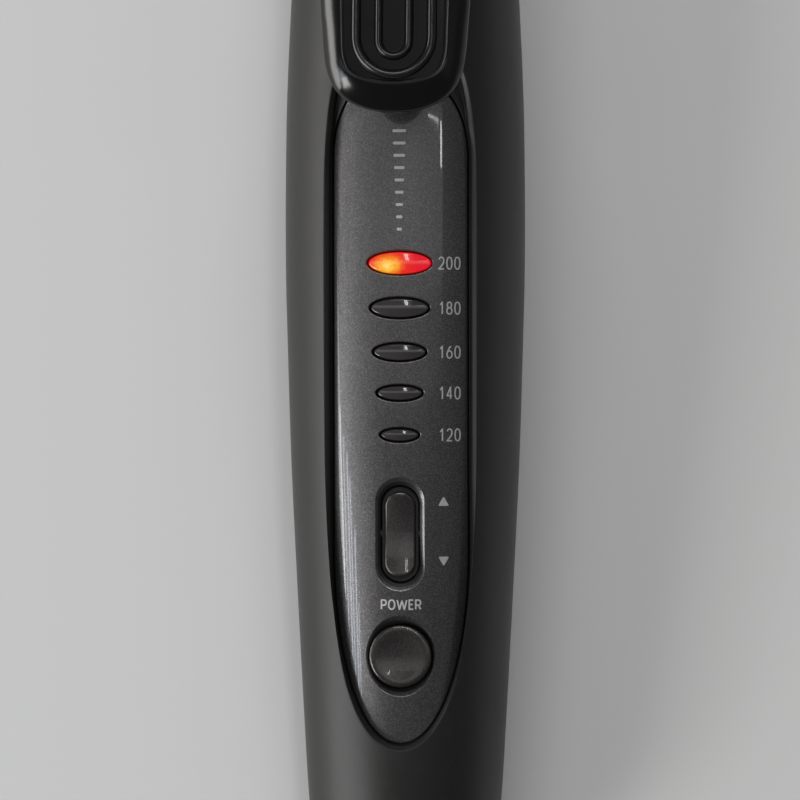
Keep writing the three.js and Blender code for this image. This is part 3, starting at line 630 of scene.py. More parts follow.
def mat_steel(name="bracket_steel", base=(0.56, 0.56, 0.57), rough=0.3, stretch=(1, 0.04, 1)):
    mt, nt, b = principled(name, base, rough, 1.0)
    vec, lines = coords(nt), coords(nt, stretch)
    br, big = noise(nt, lines, 1800, 3, 0.6), noise(nt, vec, 160, 3)
    nt.links.new(mix(nt, big, tuple(c * 0.85 for c in base), base), b.inputs["Base Color"])
    nt.links.new(mathn(nt, "ADD", remap(nt, br, rough - 0.07, rough + 0.1), remap(nt, big, -0.03, 0.04)), b.inputs["Roughness"])
    bump(nt, b, [(br, 0.08, 0.00002)])
    return mt


def mat_plain(name, base, rough, metal=0.0, scale=900, bumpy=0.15, var=0.15):
    mt, nt, b = principled(name, base, rough, metal)
    vec = coords(nt)
    a, f = noise(nt, vec, scale / 8, 3), noise(nt, vec, scale, 3)
    nt.links.new(mix(nt, a, tuple(c * (1 - var) for c in base), tuple(min(1, c * (1 + var)) for c in base)), b.inputs["Base Color"])
    nt.links.new(remap(nt, f, max(0.02, rough - 0.07), rough + 0.08), b.inputs["Roughness"])
    bump(nt, b, [(f, bumpy, 0.00004)])
    return mt


def mat_lens_smoked():
    mt, nt, b = principled("window_smoked", (0.035, 0.031, 0.031), 0.1, coat=0.7, coat_rough=0.04)
    vec = coords(nt)
    a, f = noise(nt, vec, 260, 3), noise(nt, vec, 1900, 2)
    nt.links.new(mix(nt, a, (0.028, 0.025, 0.025), (0.05, 0.045, 0.046)), b.inputs["Base Color"])
    nt.links.new(remap(nt, f, 0.08, 0.2), b.inputs["Roughness"])
    bump(nt, b, [(a, 0.05, 0.00005)])
    return mt


def mat_lens_lit(spot, half_u, half_v):
    """A window lit from behind: a warm yellow spot left of its middle that falls off to red."""
    mt, nt, b = principled("window_lit", (0.16, 0.012, 0.012), 0.14, coat=0.7, coat_rough=0.04)
    vec = coords(nt)
    sep = nt.nodes.new("ShaderNodeSeparateXYZ")
    nt.links.new(vec, sep.inputs["Vector"])
    du = remap(nt, sep.outputs["X"], -1.0, 1.0, spot[0] - half_u, spot[0] + half_u)
    dv = remap(nt, sep.outputs["Y"], -1.0, 1.0, spot[1] - half_v, spot[1] + half_v)
    du.node.clamp = dv.node.clamp = False
    r = mathn(nt, "POWER", mathn(nt, "ADD", mathn(nt, "POWER", mathn(nt, "ABSOLUTE", du), 2.0), mathn(nt, "POWER", mathn(nt, "ABSOLUTE", dv), 2.0)), 0.5)
    cloud, grain = noise(nt, vec, 700, 3), noise(nt, vec, 3600, 2)
    t = mathn(nt, "ADD", mathn(nt, "MULTIPLY", r, 0.6), remap(nt, cloud, -0.07, 0.07, 0.3, 0.7))
    col = ramp(nt, t, [(0.0, (1.0, 0.86, 0.3)), (0.14, (0.97, 0.68, 0.08)), (0.3, (0.9, 0.4, 0.015)), (0.46, (0.82, 0.12, 0.006)), (0.6, (0.78, 0.018, 0.008)), (1.0, (0.72, 0.004, 0.018))])
    col = mix(nt, remap(nt, grain, 0.0, 0.5, 0.45, 0.75), col, (0.8, 0.1, 0.05), "MULTIPLY")
    nt.links.new(col, b.inputs["Emission Color"])
    b.inputs["Emission Strength"].default_value = 0.95
    nt.links.new(remap(nt, cloud, 0.1, 0.2), b.inputs["Roughness"])
    bump(nt, b, [(cloud, 0.04, 0.00005)])
    return mt


def mat_print(name, base):
    mt, nt, b = principled(name, base, 0.4, coat=0.5, coat_rough=0.08)
    vec = coords(nt)
    f, a = noise(nt, vec, 2600, 3), noise(nt, vec, 500, 3)
    nt.links.new(mix(nt, remap(nt, f, 0, 0.5, 0.4, 0.75), base, tuple(c * 0.72 for c in base)), b.inputs["Base Color"])
    nt.links.new(remap(nt, a, 0.34, 0.5), b.inputs["Roughness"])
    bump(nt, b, [(f, 0.05, 0.00001)])
    return mt


M_SOFT = mat_soft_touch()
M_PANEL = mat_flake("panel_graphite", (0.058, 0.0555, 0.0565), (0.077, 0.0735, 0.0745), 0.36, 0.78, 0.75, 0.03, 0.55, 9500)
M_KEY = mat_flake("key_graphite", (0.034, 0.031, 0.03), (0.048, 0.044, 0.042), 0.34, 0.75, 0.6, 0.06, 0.45, 9000)
M_THUMB = mat_gloss_black()
M_RESIN = mat_resin()
# near-black painted shade for gap walls, wells and the inner parts of recesses, where shadow falls
M_SHADE_BLACK = mat_resin("painted_shade_black", (0.006, 0.006, 0.006))
M_BARREL = mat_barrel()
M_STEEL = mat_steel()
M_SPRING = mat_steel("spring_steel", (0.5, 0.5, 0.52), 0.26, (1, 1, 1))
M_CHROME = mat_steel("wire_chrome", (0.72, 0.72, 0.73), 0.12, (1, 0.3, 1))
M_RUBBER = mat_plain("foot_rubber", (0.028, 0.028, 0.029), 0.72, scale=1400, bumpy=0.35)
M_ALU = mat_steel("spreader_aluminium", (0.66, 0.67, 0.68), 0.4)
M_CERAMIC = mat_plain("heater_ceramic", (0.78, 0.76, 0.7), 0.55, scale=700)
M_BRASS = mat_steel("contact_brass", (0.72, 0.52, 0.2), 0.3)
M_BOARD = mat_plain("board_green", (0.008, 0.05, 0.022), 0.4, scale=500)
M_CHIP = mat_plain("component_black", (0.02, 0.02, 0.022), 0.5, scale=1200)
M_CAN = mat_steel("capacitor_can", (0.6, 0.61, 0.62), 0.32)
M_NYLON = mat_plain("nylon_natural", (0.66, 0.62, 0.53), 0.5, scale=600)
M_WHITE = mat_plain("lead_white", (0.75, 0.73, 0.68), 0.6, scale=2400, bumpy=0.4)
M_BLUE = mat_plain("lead_blue", (0.03, 0.07, 0.3), 0.45, scale=1800)
M_SMOKE = mat_lens_smoked()
M_LIT = mat_lens_lit(to_row((-1.9, -74.3, 17.9))[0][:2], 0.0031, 0.0021)
M_PRINT = mat_print("print_grey", (0.52, 0.52, 0.53))

SLOT_MAT = {
    "handle_soft_touch": M_SOFT, "panel_graphite": M_PANEL, "key_graphite": M_KEY, "window_smoked": M_SMOKE, "window_lit": M_LIT,
    "thumb_gloss": M_THUMB, "heat_resin": M_RESIN, "barrel_coat": M_BARREL, "bracket_steel": M_STEEL, "wire_chrome": M_CHROME,
    "foot_rubber": M_RUBBER, "spreader_aluminium": M_ALU, "heater_ceramic": M_CERAMIC, "contact_brass": M_BRASS, "board_green": M_BOARD,
    "component_black": M_CHIP, "capacitor_can": M_CAN, "nylon_natural": M_NYLON, "lead_white": M_WHITE, "lead_blue": M_BLUE}
for sp in frame["record"]["subparts"]:
    ob = NODES.get(sp["node"])
    if ob is not None:
        ob.data.materials.clear()
        ob.data.materials.append(SLOT_MAT[sp["material_slot"]])
NODES["torsion_spring"].data.materials[0] = M_SPRING

# ================================================================ front shell
rim_half = [(w, y) for y, w in RIM]
rim_loop = smooth_closed(np.array([(w, y) for w, y in rim_half] + [(-w, y) for w, y in rim_half[1:-1][::-1]], float), 60)
rim_loop = ccw(rim_loop)
gap_loop = ccw(panel_outline(0.25, 400))


def on_handle(uv, depth=0.0):
    """Points of the handle's surface, sunk by depth, above (u, v)."""
    uv = np.asarray(uv, float)
    r = hr(uv[:, 1]) - depth
    return np.stack([uv[:, 0], uv[:, 1], np.sqrt(np.maximum(r * r - uv[:, 0] ** 2, 0.01))], 1)


def polar(theta, v, r=None):
    r = hr(v) if r is None else r
    return np.stack([r * np.sin(theta), v, r * np.cos(theta)], 1)


FR, VMID = 0.3, -90.0
EDGE_W = 0.45  # height over the parting plane where the edge fillet starts
Q = 460
th = np.arcsin(rim_loop[:, 0] / hr(rim_loop[:, 1]))
aa, bb = th / (math.pi / 2), (rim_loop[:, 1] - VMID) / 90.0
kk = 1 / np.maximum(np.abs(aa), np.abs(bb))
sq = np.stack([aa * kk, bb * kk], 1)


def square_coord(p):
    """Position along the border of the square [-1, 1]^2, 0 to 8, anticlockwise from the middle of the right side."""
    x, y = p[:, 0], p[:, 1]
    q = np.zeros(len(p))
    r_, t_, l_, b_ = x >= 0.999999, y >= 0.999999, x <= -0.999999, y <= -0.999999
    q = np.where(r_, y % 8, q)
    q = np.where(t_ & ~r_, 2 - x, q)
    q = np.where(l_ & ~t_, 4 - y, q)
    q = np.where(b_ & ~l_ & ~r_, 6 + x, q)
    return q


qs = square_coord(sq)
start = int(np.argmin(np.abs(sq[:, 1]) + (sq[:, 0] < 0) * 10))
order = np.roll(np.arange(len(rim_loop)), -start)
rim_s, q_s = rim_loop[order], qs[order]
q_s = np.unwrap(q_s, period=8)
q_s = q_s - q_s[0]
seg_len = np.linalg.norm(np.diff(np.vstack([rim_s, rim_s[:1]]), axis=0), axis=1)
arc = np.concatenate([[0], np.cumsum(seg_len)])
arc_n, q_n = arc[:-1] / arc[-1], q_s / 8.0
blendp = 0.55 * arc_n + 0.45 * q_n
targets = list(np.linspace(0, 1, Q, endpoint=False))
corner_q = [1.0, 3.0, 5.0, 7.0]
q0 = square_coord(sq[order[:1]])[0]
corner_t = [float(np.interp((cq - q0) % 8, q_s, blendp)) for cq in corner_q]
for ct in corner_t:
    k = int(np.argmin([abs(t - ct) for t in targets]))
    targets[k] = ct
targets = np.array(sorted(targets))
closed_b = np.append(blendp, 1.0)
ru = np.interp(targets, closed_b, np.append(rim_s[:, 0], rim_s[0, 0]))
rv = np.interp(targets, closed_b, np.append(rim_s[:, 1], rim_s[0, 1]))
rim_pts = np.stack([ru, rv], 1)
rth = np.arcsin(ru / hr(rv))
a2, b2 = rth / (math.pi / 2), (rv - VMID) / 90.0
k2 = 1 / np.maximum(np.abs(a2), np.abs(b2))
oa, obb = a2 * k2, b2 * k2
near = [int(np.argmin(np.abs(targets - ct))) for ct in corner_t]
for k, (sa, sb) in zip(near, ((1, 1), (-1, 1), (-1, -1), (1, -1))):
    oa[k], obb[k] = sa, sb
d2 = np.linalg.norm(rim_pts[:, None] - gap_loop[None], axis=2)
gap_pts = gap_loop[d2.argmin(1)]
vec = rim_pts - gap_pts
dist = np.linalg.norm(vec, axis=1)
unit = vec / dist[:, None]
SLOPE_W, FLOOR_D = 1.35, 1.72
foot = np.maximum(dist - SLOPE_W, 0.12 * dist)


def along(d):
    return gap_pts + unit * np.minimum(d, dist)[:, None]


front = Soup()
rings = [
    on_handle(along(np.full(Q, 0.0)), 2.45), on_handle(along(np.full(Q, 0.0)), FLOOR_D + 0.12),
    on_handle(along(np.minimum(0.04, foot * 0.2)), FLOOR_D + 0.035), on_handle(along(np.minimum(0.12, foot * 0.4)), FLOOR_D)]
# the first band, the wall going down into the gap round the panel, takes the near-black painted shade material
gap_mats = [1, 0, 0]
for t in (0.55, 0.72, 0.88):
    rings.append(on_handle(along(foot * t), FLOOR_D))
for t, dd in ((0.04, 0.93), (0.1, 0.79), (0.17, 0.64), (0.24, 0.54), (0.31, 0.465), (0.44, 0.355), (0.57, 0.25), (0.7, 0.15), (0.8, 0.078), (0.89, 0.024), (0.95, 0.005), (1.0, 0.0)):
    rings.append(on_handle(along(foot + (dist - foot) * t), FLOOR_D * dd))
wear = [0] * (len(rings) - 3) + [0.6, 1.0, 0.6]
gap_mats += [0] * (len(rings) - 1 - len(gap_mats))
# out over the handle to the parting line and the two ends
ROWS = 34
v_lo, v_hi = -180 + FR, -FR
o_th = np.where(np.abs(oa) > 0.9999, 0, oa) * math.pi / 2
ov = VMID + obb * 90.0
ov = np.clip(ov, v_lo, v_hi)
lim = np.arccos(EDGE_W / hr(ov))
o_th = np.where(np.abs(oa) > 0.9999, np.sign(oa) * lim, np.clip(oa * math.pi / 2, -lim, lim))
for j in range(1, ROWS + 1):
    t = j / ROWS
    t = t ** 1.15
    tt, vv = rth + (o_th - rth) * t, rv + (ov - rv) * t
    rings.append(polar(tt, vv))
    gap_mats.append(0)
    wear.append(0)
side = np.abs(oa) > 0.9999
endf, endb = obb > 0.9999, obb < -0.9999
for al in (22.5, 45, 67.5, 90):
    a = math.radians(al)
    drop, out = FR * (1 - math.cos(a)), FR * math.sin(a)
    vv = ov + np.where(endf, out, 0) - np.where(endb, out, 0)
    r = hr(ov) - drop
    w_here = EDGE_W - out
    tt = np.where(side, np.sign(oa) * np.arccos(w_here / r), o_th)
    rings.append(polar(tt, vv, r))
    gap_mats.append(0)
    wear.append(0.7)
inner = np.where(endf, 16.5, np.where(endb, TAIL_HOLE_R, hr(ov) - 2.0))
for t in (0.5, 1.0):
    r = (hr(ov) - FR) * (1 - t) + inner * t
    w_here = EDGE_W - FR
    tt = np.where(side, np.sign(oa) * np.arccos(np.clip(w_here / r, -1, 1)), o_th)
    vv = ov + np.where(endf, FR, 0) - np.where(endb, FR, 0)
    rings.append(polar(tt, vv, r))
    gap_mats.append(0)
    wear.append(0)
r = inner
vv = ov + np.where(endf, FR - 5, 0) - np.where(endb, FR - 5, 0)
rings.append(polar(np.where(side, np.sign(oa) * np.arccos(np.clip((EDGE_W - FR) / r, -1, 1)), o_th), vv, r - 0.01))
gap_mats.append(0)
wear.append(0)
stack(front, rings, gap_mats, wear=wear)
front.build("handle_front", [M_SOFT, M_SHADE_BLACK], "handle", ["front_shell"], 28)

# ================================================================ rear shell
BOSSES = [(11.0, -34.0), (-11.0, -34.0), (0.0, -156.3)]


def rear_shell():
    vs = np.concatenate([[v_hi], np.linspace(-2, -170, 85), np.linspace(-171.5, v_lo, 9)])
    nt_ = 97
    outer = []
    for v in vs:
        lim_ = math.acos(EDGE_W / float(hr(v)))
        t = np.linspace(math.pi - lim_, math.pi + lim_, nt_)
        outer.append(polar(t, np.full(nt_, v)))
    outer = np.array(outer)
    sp = Soup()
    R_, C_ = len(vs), nt_
    pts = outer.reshape(-1, 3)
    border = [(0, c) for c in range(C_)] + [(r_, C_ - 1) for r_ in range(1, R_)] + [(R_ - 1, c) for c in range(C_ - 2, -1, -1)] + [(r_, 0) for r_ in range(R_ - 2, 0, -1)]
    bi = np.array([r_ * C_ + c for r_, c in border])
    bt = np.array([math.atan2(pts[i][0], pts[i][2]) for i in bi])
    bt = np.where(bt < 0, bt + 2 * math.pi, bt)
    bv = pts[bi][:, 1]
    is_front = np.array([r_ == 0 for r_, c in border])
    is_back = np.array([r_ == R_ - 1 for r_, c in border])
    is_lo = np.array([c == 0 for r_, c in border])
    is_hi = np.array([c == C_ - 1 for r_, c in border])
    rings_ = [pts[bi]]
    for al in (22.5, 45, 67.5, 90):
        a = math.radians(al)
        drop, out = FR * (1 - math.cos(a)), FR * math.sin(a)
        vv_ = bv + np.where(is_front, out, 0) - np.where(is_back, out, 0)
        r_ = hr(bv) - drop
        al_ = np.arccos((EDGE_W - out) / r_)
        tt_ = np.where(is_lo, math.pi - al_, np.where(is_hi, math.pi + al_, bt))
        rings_.append(polar(tt_, vv_, r_))
    inn = np.where(is_front, 16.5, np.where(is_back, TAIL_HOLE_R, hr(bv) - 2.0))
    al_ = np.arccos(np.clip((EDGE_W - FR) / inn, -1, 1))
    tt_ = np.where(is_lo, math.pi - al_, np.where(is_hi, math.pi + al_, bt))
    vv_ = bv + np.where(is_front, FR, 0) - np.where(is_back, FR, 0)
    rings_.append(polar(tt_, vv_, inn))
    n = len(bi)
    # the outer skin, with the screw holes cut out and re-filled round their mouths
    base = sp.add(pts, [], 0)
    faces = quads(R_, C_, closed=False, flip=False)
    centre = pts[np.array(faces)].mean(1)
    keep = np.ones(len(faces), bool)
    for bx, by in BOSSES:
        keep &= np.hypot(centre[:, 0] - bx, centre[:, 1] - by) > 4.4
    left = [f for f, k in zip(faces, keep) if k]
    sp.f += left
    sp.m += [0] * len(left)
    count = {}
    for f in [f for f, k in zip(faces, keep) if not k]:
        for i in range(4):
            e = (f[i], f[(i + 1) % 4])
            count[e] = 1
    for bx, by in BOSSES:
        e_here = {e[0]: e[1] for e in count if (e[1], e[0]) not in count and math.hypot(pts[e[0]][0] - bx, pts[e[0]][1] - by) < 9}
        if not e_here:
            continue
        k = next(iter(e_here))
        loop = [k]
        while e_here[loop[-1]] != k:
            loop.append(e_here[loop[-1]])
        lp = pts[loop]
        mouth_r, fil = 2.65, 0.25
        hole = ellipse(bx, by, mouth_r + fil, mouth_r + fil, 48)
        p2, f2 = sheet_2d(lp[:, :2], [hole], 0.9)
        r3 = hr(p2[:, 1])
        p3 = np.stack([p2[:, 0], p2[:, 1], -np.sqrt(np.maximum(r3 * r3 - p2[:, 0] ** 2, 0.01))], 1)
        sl = hr_slope(p2[:, 1])
        nn = np.stack([p3[:, 0], -r3 * sl, p3[:, 2]], 1)
        nn /= np.linalg.norm(nn, axis=1, keepdims=True)
        sp.add(p3, f2[:, ::-1], 0, normals=nn)
        hs = ccw(hole)
        rr = []
        for al in (0, 30, 60, 90):
            a = math.radians(al)
            ring = ellipse(bx, by, mouth_r + fil * (1 - math.sin(a)), mouth_r + fil * (1 - math.sin(a)), 48)
            rad = hr(ring[:, 1])
            z = -np.sqrt(np.maximum(rad * rad - ring[:, 0] ** 2, 0.01)) + fil * (1 - math.cos(a))
            rr.append(np.stack([ring[:, 0], ring[:, 1], z], 1))
        for r_, z in ((2.65, -6.0), (1.4, -6.0), (1.4, -2.0)):
            ring = ellipse(bx, by, r_, r_, 48)
            rr.append(np.stack([ring[:, 0], ring[:, 1], np.full(48, z)], 1))
        stack(sp, rr, 0, flip=True)
    stack(sp, rings_, 0, flip=False, wear=[0, 0.4, 0.7, 0.4, 0, 0])
    return sp.build("handle_rear", [M_SOFT], "handle", ["rear_shell"], 28)


rear_obj = rear_shell()


def screw_head(soup, at, r, h, up=1, m=0, sides=40, cross=True):
    """A pan head with a cross recess, its seat at `at`, its top pointing along w times up."""
    x, y, z = at
    t = np.linspace(0, 2 * math.pi, 96, endpoint=False)
    arm, thin = r * 0.58, r * 0.15
    cr = []
    for a in t:
        q = (a + math.pi / 4) % (math.pi / 2) - math.pi / 4
        d = min(arm, thin / max(abs(math.sin(q)), 1e-6)) if abs(math.tan(q)) > thin / arm else arm / math.cos(q)
        cr.append(d)
    cr = np.array(cr)

    def ring(rad, zz):
        rad = np.broadcast_to(rad, t.shape)
        return np.stack([x + rad * np.cos(t), y + rad * np.sin(t), np.full(len(t), z + up * zz)], 1)

    rr = [ring(r * 0.99, 0.0), ring(r, 0.12), ring(r, h * 0.45), ring(r * 0.95, h * 0.72), ring(r * 0.84, h * 0.92), ring(r * 0.7, h)]
    if cross:
        rr += [ring(cr * 1.04, h), ring(cr, h - 0.05), ring(cr * 0.75, h - r * 0.38), ring(cr * 0.02, h - r * 0.42)]
    else:
        rr += [ring(r * 0.3, h * 1.02), ring(0.01, h * 1.03)]
    stack(soup, rr, m, flip=up < 0)


for nm, (bx, by) in zip(("right", "left", "tail"), BOSSES):
    s = Soup()
    screw_head(s, (bx, by, -6.3), 2.3, 1.6, -1)
    lathe(s, [(0.02, 7.5), (0.8, 7.5), (1.1, 6.9)] + [(1.1 if k % 2 else 0.92, 6.4 - k * 0.35) for k in range(34)] + [(1.1, -6.2)], 24, 0, "w", (bx, by, 0))
    s.build("screw_" + nm, [M_STEEL], "handle", ["shell_screw_" + nm])

# ================================================================ control panel
PR = lambda v: hr(v) - SUNK


def on_panel(uv, lift=0.0):
    """Points over the panel's face at (u, v), raised along w by lift."""
    uv = np.asarray(uv, float)
    r = PR(uv[:, 1])
    return np.stack([uv[:, 0], uv[:, 1], np.sqrt(np.maximum(r * r - uv[:, 0] ** 2, 0.01)) + lift], 1)


def panel_normal(uv):
    r = PR(uv[:, 1])
    n = np.stack([uv[:, 0], -r * hr_slope(uv[:, 1]), np.sqrt(np.maximum(r * r - uv[:, 0] ** 2, 0.01))], 1)
    return n / np.linalg.norm(n, axis=1, keepdims=True)


Z_DISH = 14.55
DISH_IN = 5.42
DISH_TILT = float(hr_slope(BTN_Y))
phi = np.linspace(0, 2 * math.pi, 120, endpoint=False)
rho = np.full(120, 6.2)
for _ in range(40):
    q_ = np.stack([rho * np.cos(phi), BTN_Y + rho * np.sin(phi)], 1)
    rho = 0.5 * rho + 0.5 * (DISH_IN + (on_panel(q_)[:, 2] - Z_DISH - DISH_TILT * (q_[:, 1] - BTN_Y)))
DISH_EDGE = 0.12
dish = np.stack([(rho + DISH_EDGE) * np.cos(phi), BTN_Y + (rho + DISH_EDGE) * np.sin(phi)], 1)

rock_out = stadium(0, ROCK_Y, 4.18, 9.6, 28)
rock_in = stadium(0, ROCK_Y, ROCK_HW, ROCK_HL, 28)
led_loops = [ellipse(0, y, a, b, 72) for _n, y, a, b in LEDS]
P_ROUND = 0.22
pan = Soup()
edge0 = ccw(panel_outline(-P_ROUND, 90))
LED_CH = 0.2
holes = [grow(ccw(l), LED_CH) for l in led_loops] + [ccw(rock_out), ccw(dish)]
p2, f2 = sheet_2d(edge0, holes, 0.62)
pan.add(on_panel(p2), f2, 0, normals=panel_normal(p2))
# rounded outer edge, then the side wall and the floor under it, painted near-black as shade in the gap
e_n = normals2(edge0)
rr, nn = [], []
for al in (0, 15, 30, 45, 60, 75, 90):
    a = math.radians(al)
    uv = edge0 + e_n * P_ROUND * math.sin(a)
    base3 = on_panel(edge0)
    top = on_panel(uv)
    rr.append(np.stack([uv[:, 0], uv[:, 1], top[:, 2] - P_ROUND * (1 - math.cos(a))], 1))
out0 = ccw(panel_outline(0, 90))
stack(pan, rr, 0, flip=True, wear=[0, 0.2, 0.5, 0.6, 0.5, 0.3, 0])
fl_rings = [rr[-1], on_handle(out0, 2.72)]
for d in (0.5, 1.1, 1.6):
    fl_rings.append(on_handle(grow(out0, d), 2.72))
fl_rings += [on_handle(grow(out0, 1.7), 2.82), on_handle(grow(out0, 1.7), 3.4), on_handle(grow(out0, 1.6), 3.5), on_handle(out0, 3.55), on_handle(grow(out0, -1.0), 3.6)]
stack(pan, fl_rings, 1, flip=True)
# windows: a fine chamfer and a well painted near-black as shade
for loop in led_loops:
    lp = ccw(loop)
    rr = [on_panel(grow(lp, LED_CH * k), d) for k, d in ((1, 0), (0.75, -0.02), (0.4, -0.09), (0.1, -0.2), (0, -0.3))]
    stack(pan, rr, 0)
    stack(pan, [on_panel(lp, -0.3), on_panel(lp, -2.4)], 1)
# rocker recess: a bevelled trough round the slot; the trough's inner part and the slot walls are painted near-black as
# shade
ro, ri = ccw(rock_out), ccw(rock_in)
rr = []
EASE = 0.1


def eased_drop(t, c):
    """0 to 1 over t, starting level and soon falling straight."""
    return (t - c * (1 - math.exp(-t / c))) / (1 - c * (1 - math.exp(-1 / c)))


ts = [0, 0.04, 0.08, 0.13, 0.19, 0.27, 0.4, 0.55, 0.7, 0.85, 1.0]
for t in ts:
    rr.append(on_panel(ro + (ri - ro) * t, -0.95 * eased_drop(t, EASE)))
stack(pan, rr, [0] * 7 + [1] * 3)
stack(pan, [on_panel(ri, -0.95), on_panel(ri, -1.25), on_panel(ri, -2.8)], [1, 1])
# power button dish; its inner part and the hole wall are painted near-black as shade
ds = ccw(dish)
rr = [on_panel(dish)]
ph = np.stack([np.cos(phi), np.sin(phi)], 1)
for t in (0.025, 0.05, 0.08, 0.12, 0.18, 0.3, 0.45, 0.6, 0.8, 1.0):
    rad = (rho + DISH_EDGE) * (1 - t) + DISH_IN * t
    uv = ph * rad[:, None] + np.array([0, BTN_Y])
    f_ = eased_drop(t, 0.06)
    surf = on_panel(uv)[:, 2] * (1 - t) + on_panel(dish)[:, 2] * t
    z = surf * (1 - f_) + (Z_DISH + DISH_TILT * (uv[:, 1] - BTN_Y)) * f_
    rr.append(np.stack([uv[:, 0], uv[:, 1], z], 1))
stack(pan, rr, [0] * 8 + [1] * 2)
low = rr[-1].copy()
stack(pan, [low, low - np.array([0, 0, 0.25]), low - np.array([0, 0, 1.8])], [1, 1])
pan.build("panel", [M_PANEL, M_SHADE_BLACK], "handle", ["control_panel"], 32)


def cap_piece(soup, outline, top, depth, rnd, step, m=0, normals=False, steps=5, wall_m=None):
    """A solid with plan `outline` and height function top(uv): domed face, rounded edge and a straight wall."""
    lp = ccw(outline)
    inner_ = grow(lp, -rnd)
    p2, f2 = sheet_2d(inner_, [], step)
    soup.add(np.column_stack([p2, top(p2)]), f2, m)
    rr, wr = [], []
    for al in np.linspace(0, 90, steps + 1):
        a = math.radians(al)
        uv = inner_ + normals2(lp) * rnd * math.sin(a)
        rr.append(np.column_stack([uv, top(uv) - rnd * (1 - math.cos(a))]))
        wr.append(0.8 * math.sin(2 * a))
    last = rr[-1].copy()
    last[:, 2] -= depth
    rr.append(last)
    wr.append(0)
    stack(soup, rr, m if wall_m is None else [m] * steps + [wall_m], flip=True, wear=wr)


# windows' lenses
for nm, y, a, b in LEDS:
    s = Soup()
    gap_ = 0.27
    top = lambda uv, y=y, a=a, b=b: on_panel(uv)[:, 2] - 0.42 + 0.42 * (1 - (uv[:, 0] / a) ** 2 - ((uv[:, 1] - y) / b) ** 2)
    cap_piece(s, ellipse(0, y, a - gap_, b - gap_, 72), top, 1.6, 0.28, 0.35)
    s.build("window_" + nm, [M_LIT if nm == "200" else M_SMOKE], "handle", ["lens_" + nm], 60)

# temperature rocker
ROCK_TOP = 16.95
s = Soup()


def rocker_top(uv):
    t = (uv[:, 1] - ROCK_Y) / ROCK_CL
    x = uv[:, 0] / ROCK_CW
    return ROCK_TOP - 0.78 * (1 - t * t) - 0.34 * x * x - 0.28 * np.clip((np.abs(t) - 0.86) / 0.14, 0, 1) ** 2


cap_piece(s, stadium(0, ROCK_Y, ROCK_CW, ROCK_CL, 28), rocker_top, 1.4, 0.4, 0.34)
# a skirt under the key, painted near-black as shade in the slot
plate(s, stadium(0, ROCK_Y, 3.06, 7.96, 28), 14.72, 15.1, "w", 0.08, 1, step=0.9)
s.build("rocker_key", [M_KEY, M_SHADE_BLACK], "temperature_key", ["temperature_rocker"], 60)

# power button
s = Soup()
prof = [(0.01, 15.5), (0.8, 15.515), (1.6, 15.565), (2.4, 15.65), (3.1, 15.76), (3.6, 15.86), (4.0, 15.93), (4.35, 15.965), (4.62, 15.97), (4.83, 15.94), (5.0, 15.86), (5.11, 15.75), (5.18, 15.6), (5.2, 15.4), (5.2, 14.6), (5.2, 12.6)]
lathe(s, prof, 144, 0, "w", (0, BTN_Y, 0), wear=[0] * 6 + [0.1, 0.3, 0.5, 0.7, 0.8, 0.7, 0.4, 0.1, 0, 0])
s.build("power_key_cap", [M_KEY], "power_key", ["power_button"], 60)

# ================================================================ print on the panel
def print_mesh(name, polys, lift=0.03):
    s = Soup()
    for p in polys:
        p2, f2 = sheet_2d(p[0], p[1:], 0.5)
        s.add(on_panel(p2, lift), f2, 0, normals=panel_normal(p2))
    return s.build(name, [M_PRINT], "handle", (), 60)


def bow(cx, cy, rx, ry, d0, d1, n=18, k=2.3):
    """Part of a slightly squared ring, in degrees."""
    a = np.radians(np.linspace(d0, d1, n))
    c, q = np.cos(a), np.sin(a)
    return [(cx + rx * math.copysign(abs(x) ** (2 / k), x), cy + ry * math.copysign(abs(y) ** (2 / k), y)) for x, y in zip(c, q)]


GLYPHS = {
    "0": (1.0, [bow(0.5, 0.5, 0.5, 0.5, 90, 450, 40)]),
    "1": (1.0, [[(0.24, 0.76), (0.66, 1.0), (0.66, 0.0)]]),
    "2": (1.0, [bow(0.5, 0.72, 0.47, 0.28, 165, 0, 16, 2.1) + [(0.93, 0.58), (0.8, 0.42), (0.0, 0.0), (1.0, 0.0)]]),
    "4": (1.0, [[(0.7, 0.0), (0.7, 1.0), (0.0, 0.27), (1.0, 0.27)]]),
    "6": (1.0, [[(0.82, 1.0), (0.55, 0.9), (0.28, 0.7), (0.09, 0.5), (0.0, 0.3)], bow(0.5, 0.3, 0.5, 0.3, 0, 360, 34, 2.1)]),
    "8": (1.0, [bow(0.5, 0.765, 0.42, 0.235, 0, 360, 32, 2.1), bow(0.5, 0.265, 0.5, 0.265, 0, 360, 34, 2.1)]),
    "P": (1.05, [[(0.0, 0.0), (0.0, 1.0), (0.5, 1.0)] + bow(0.5, 0.72, 0.5, 0.28, 90, -90, 14) + [(0.0, 0.44)]]),
    "O": (1.28, [bow(0.5, 0.5, 0.5, 0.5, 90, 450, 40, 2.2)]),
    "W": (1.85, [[(0.0, 1.0), (0.24, 0.0), (0.5, 0.9), (0.76, 0.0), (1.0, 1.0)]]),
    "E": (0.92, [[(1.0, 1.0), (0.0, 1.0), (0.0, 0.0), (1.0, 0.0)], [(0.0, 0.52), (0.86, 0.52)]]),
    "R": (1.1, [[(0.0, 0.0), (0.0, 1.0), (0.5, 1.0)] + bow(0.5, 0.72, 0.46, 0.28, 90, -90, 14) + [(0.0, 0.44)], [(0.5, 0.44), (1.0, 0.0)]]),
}


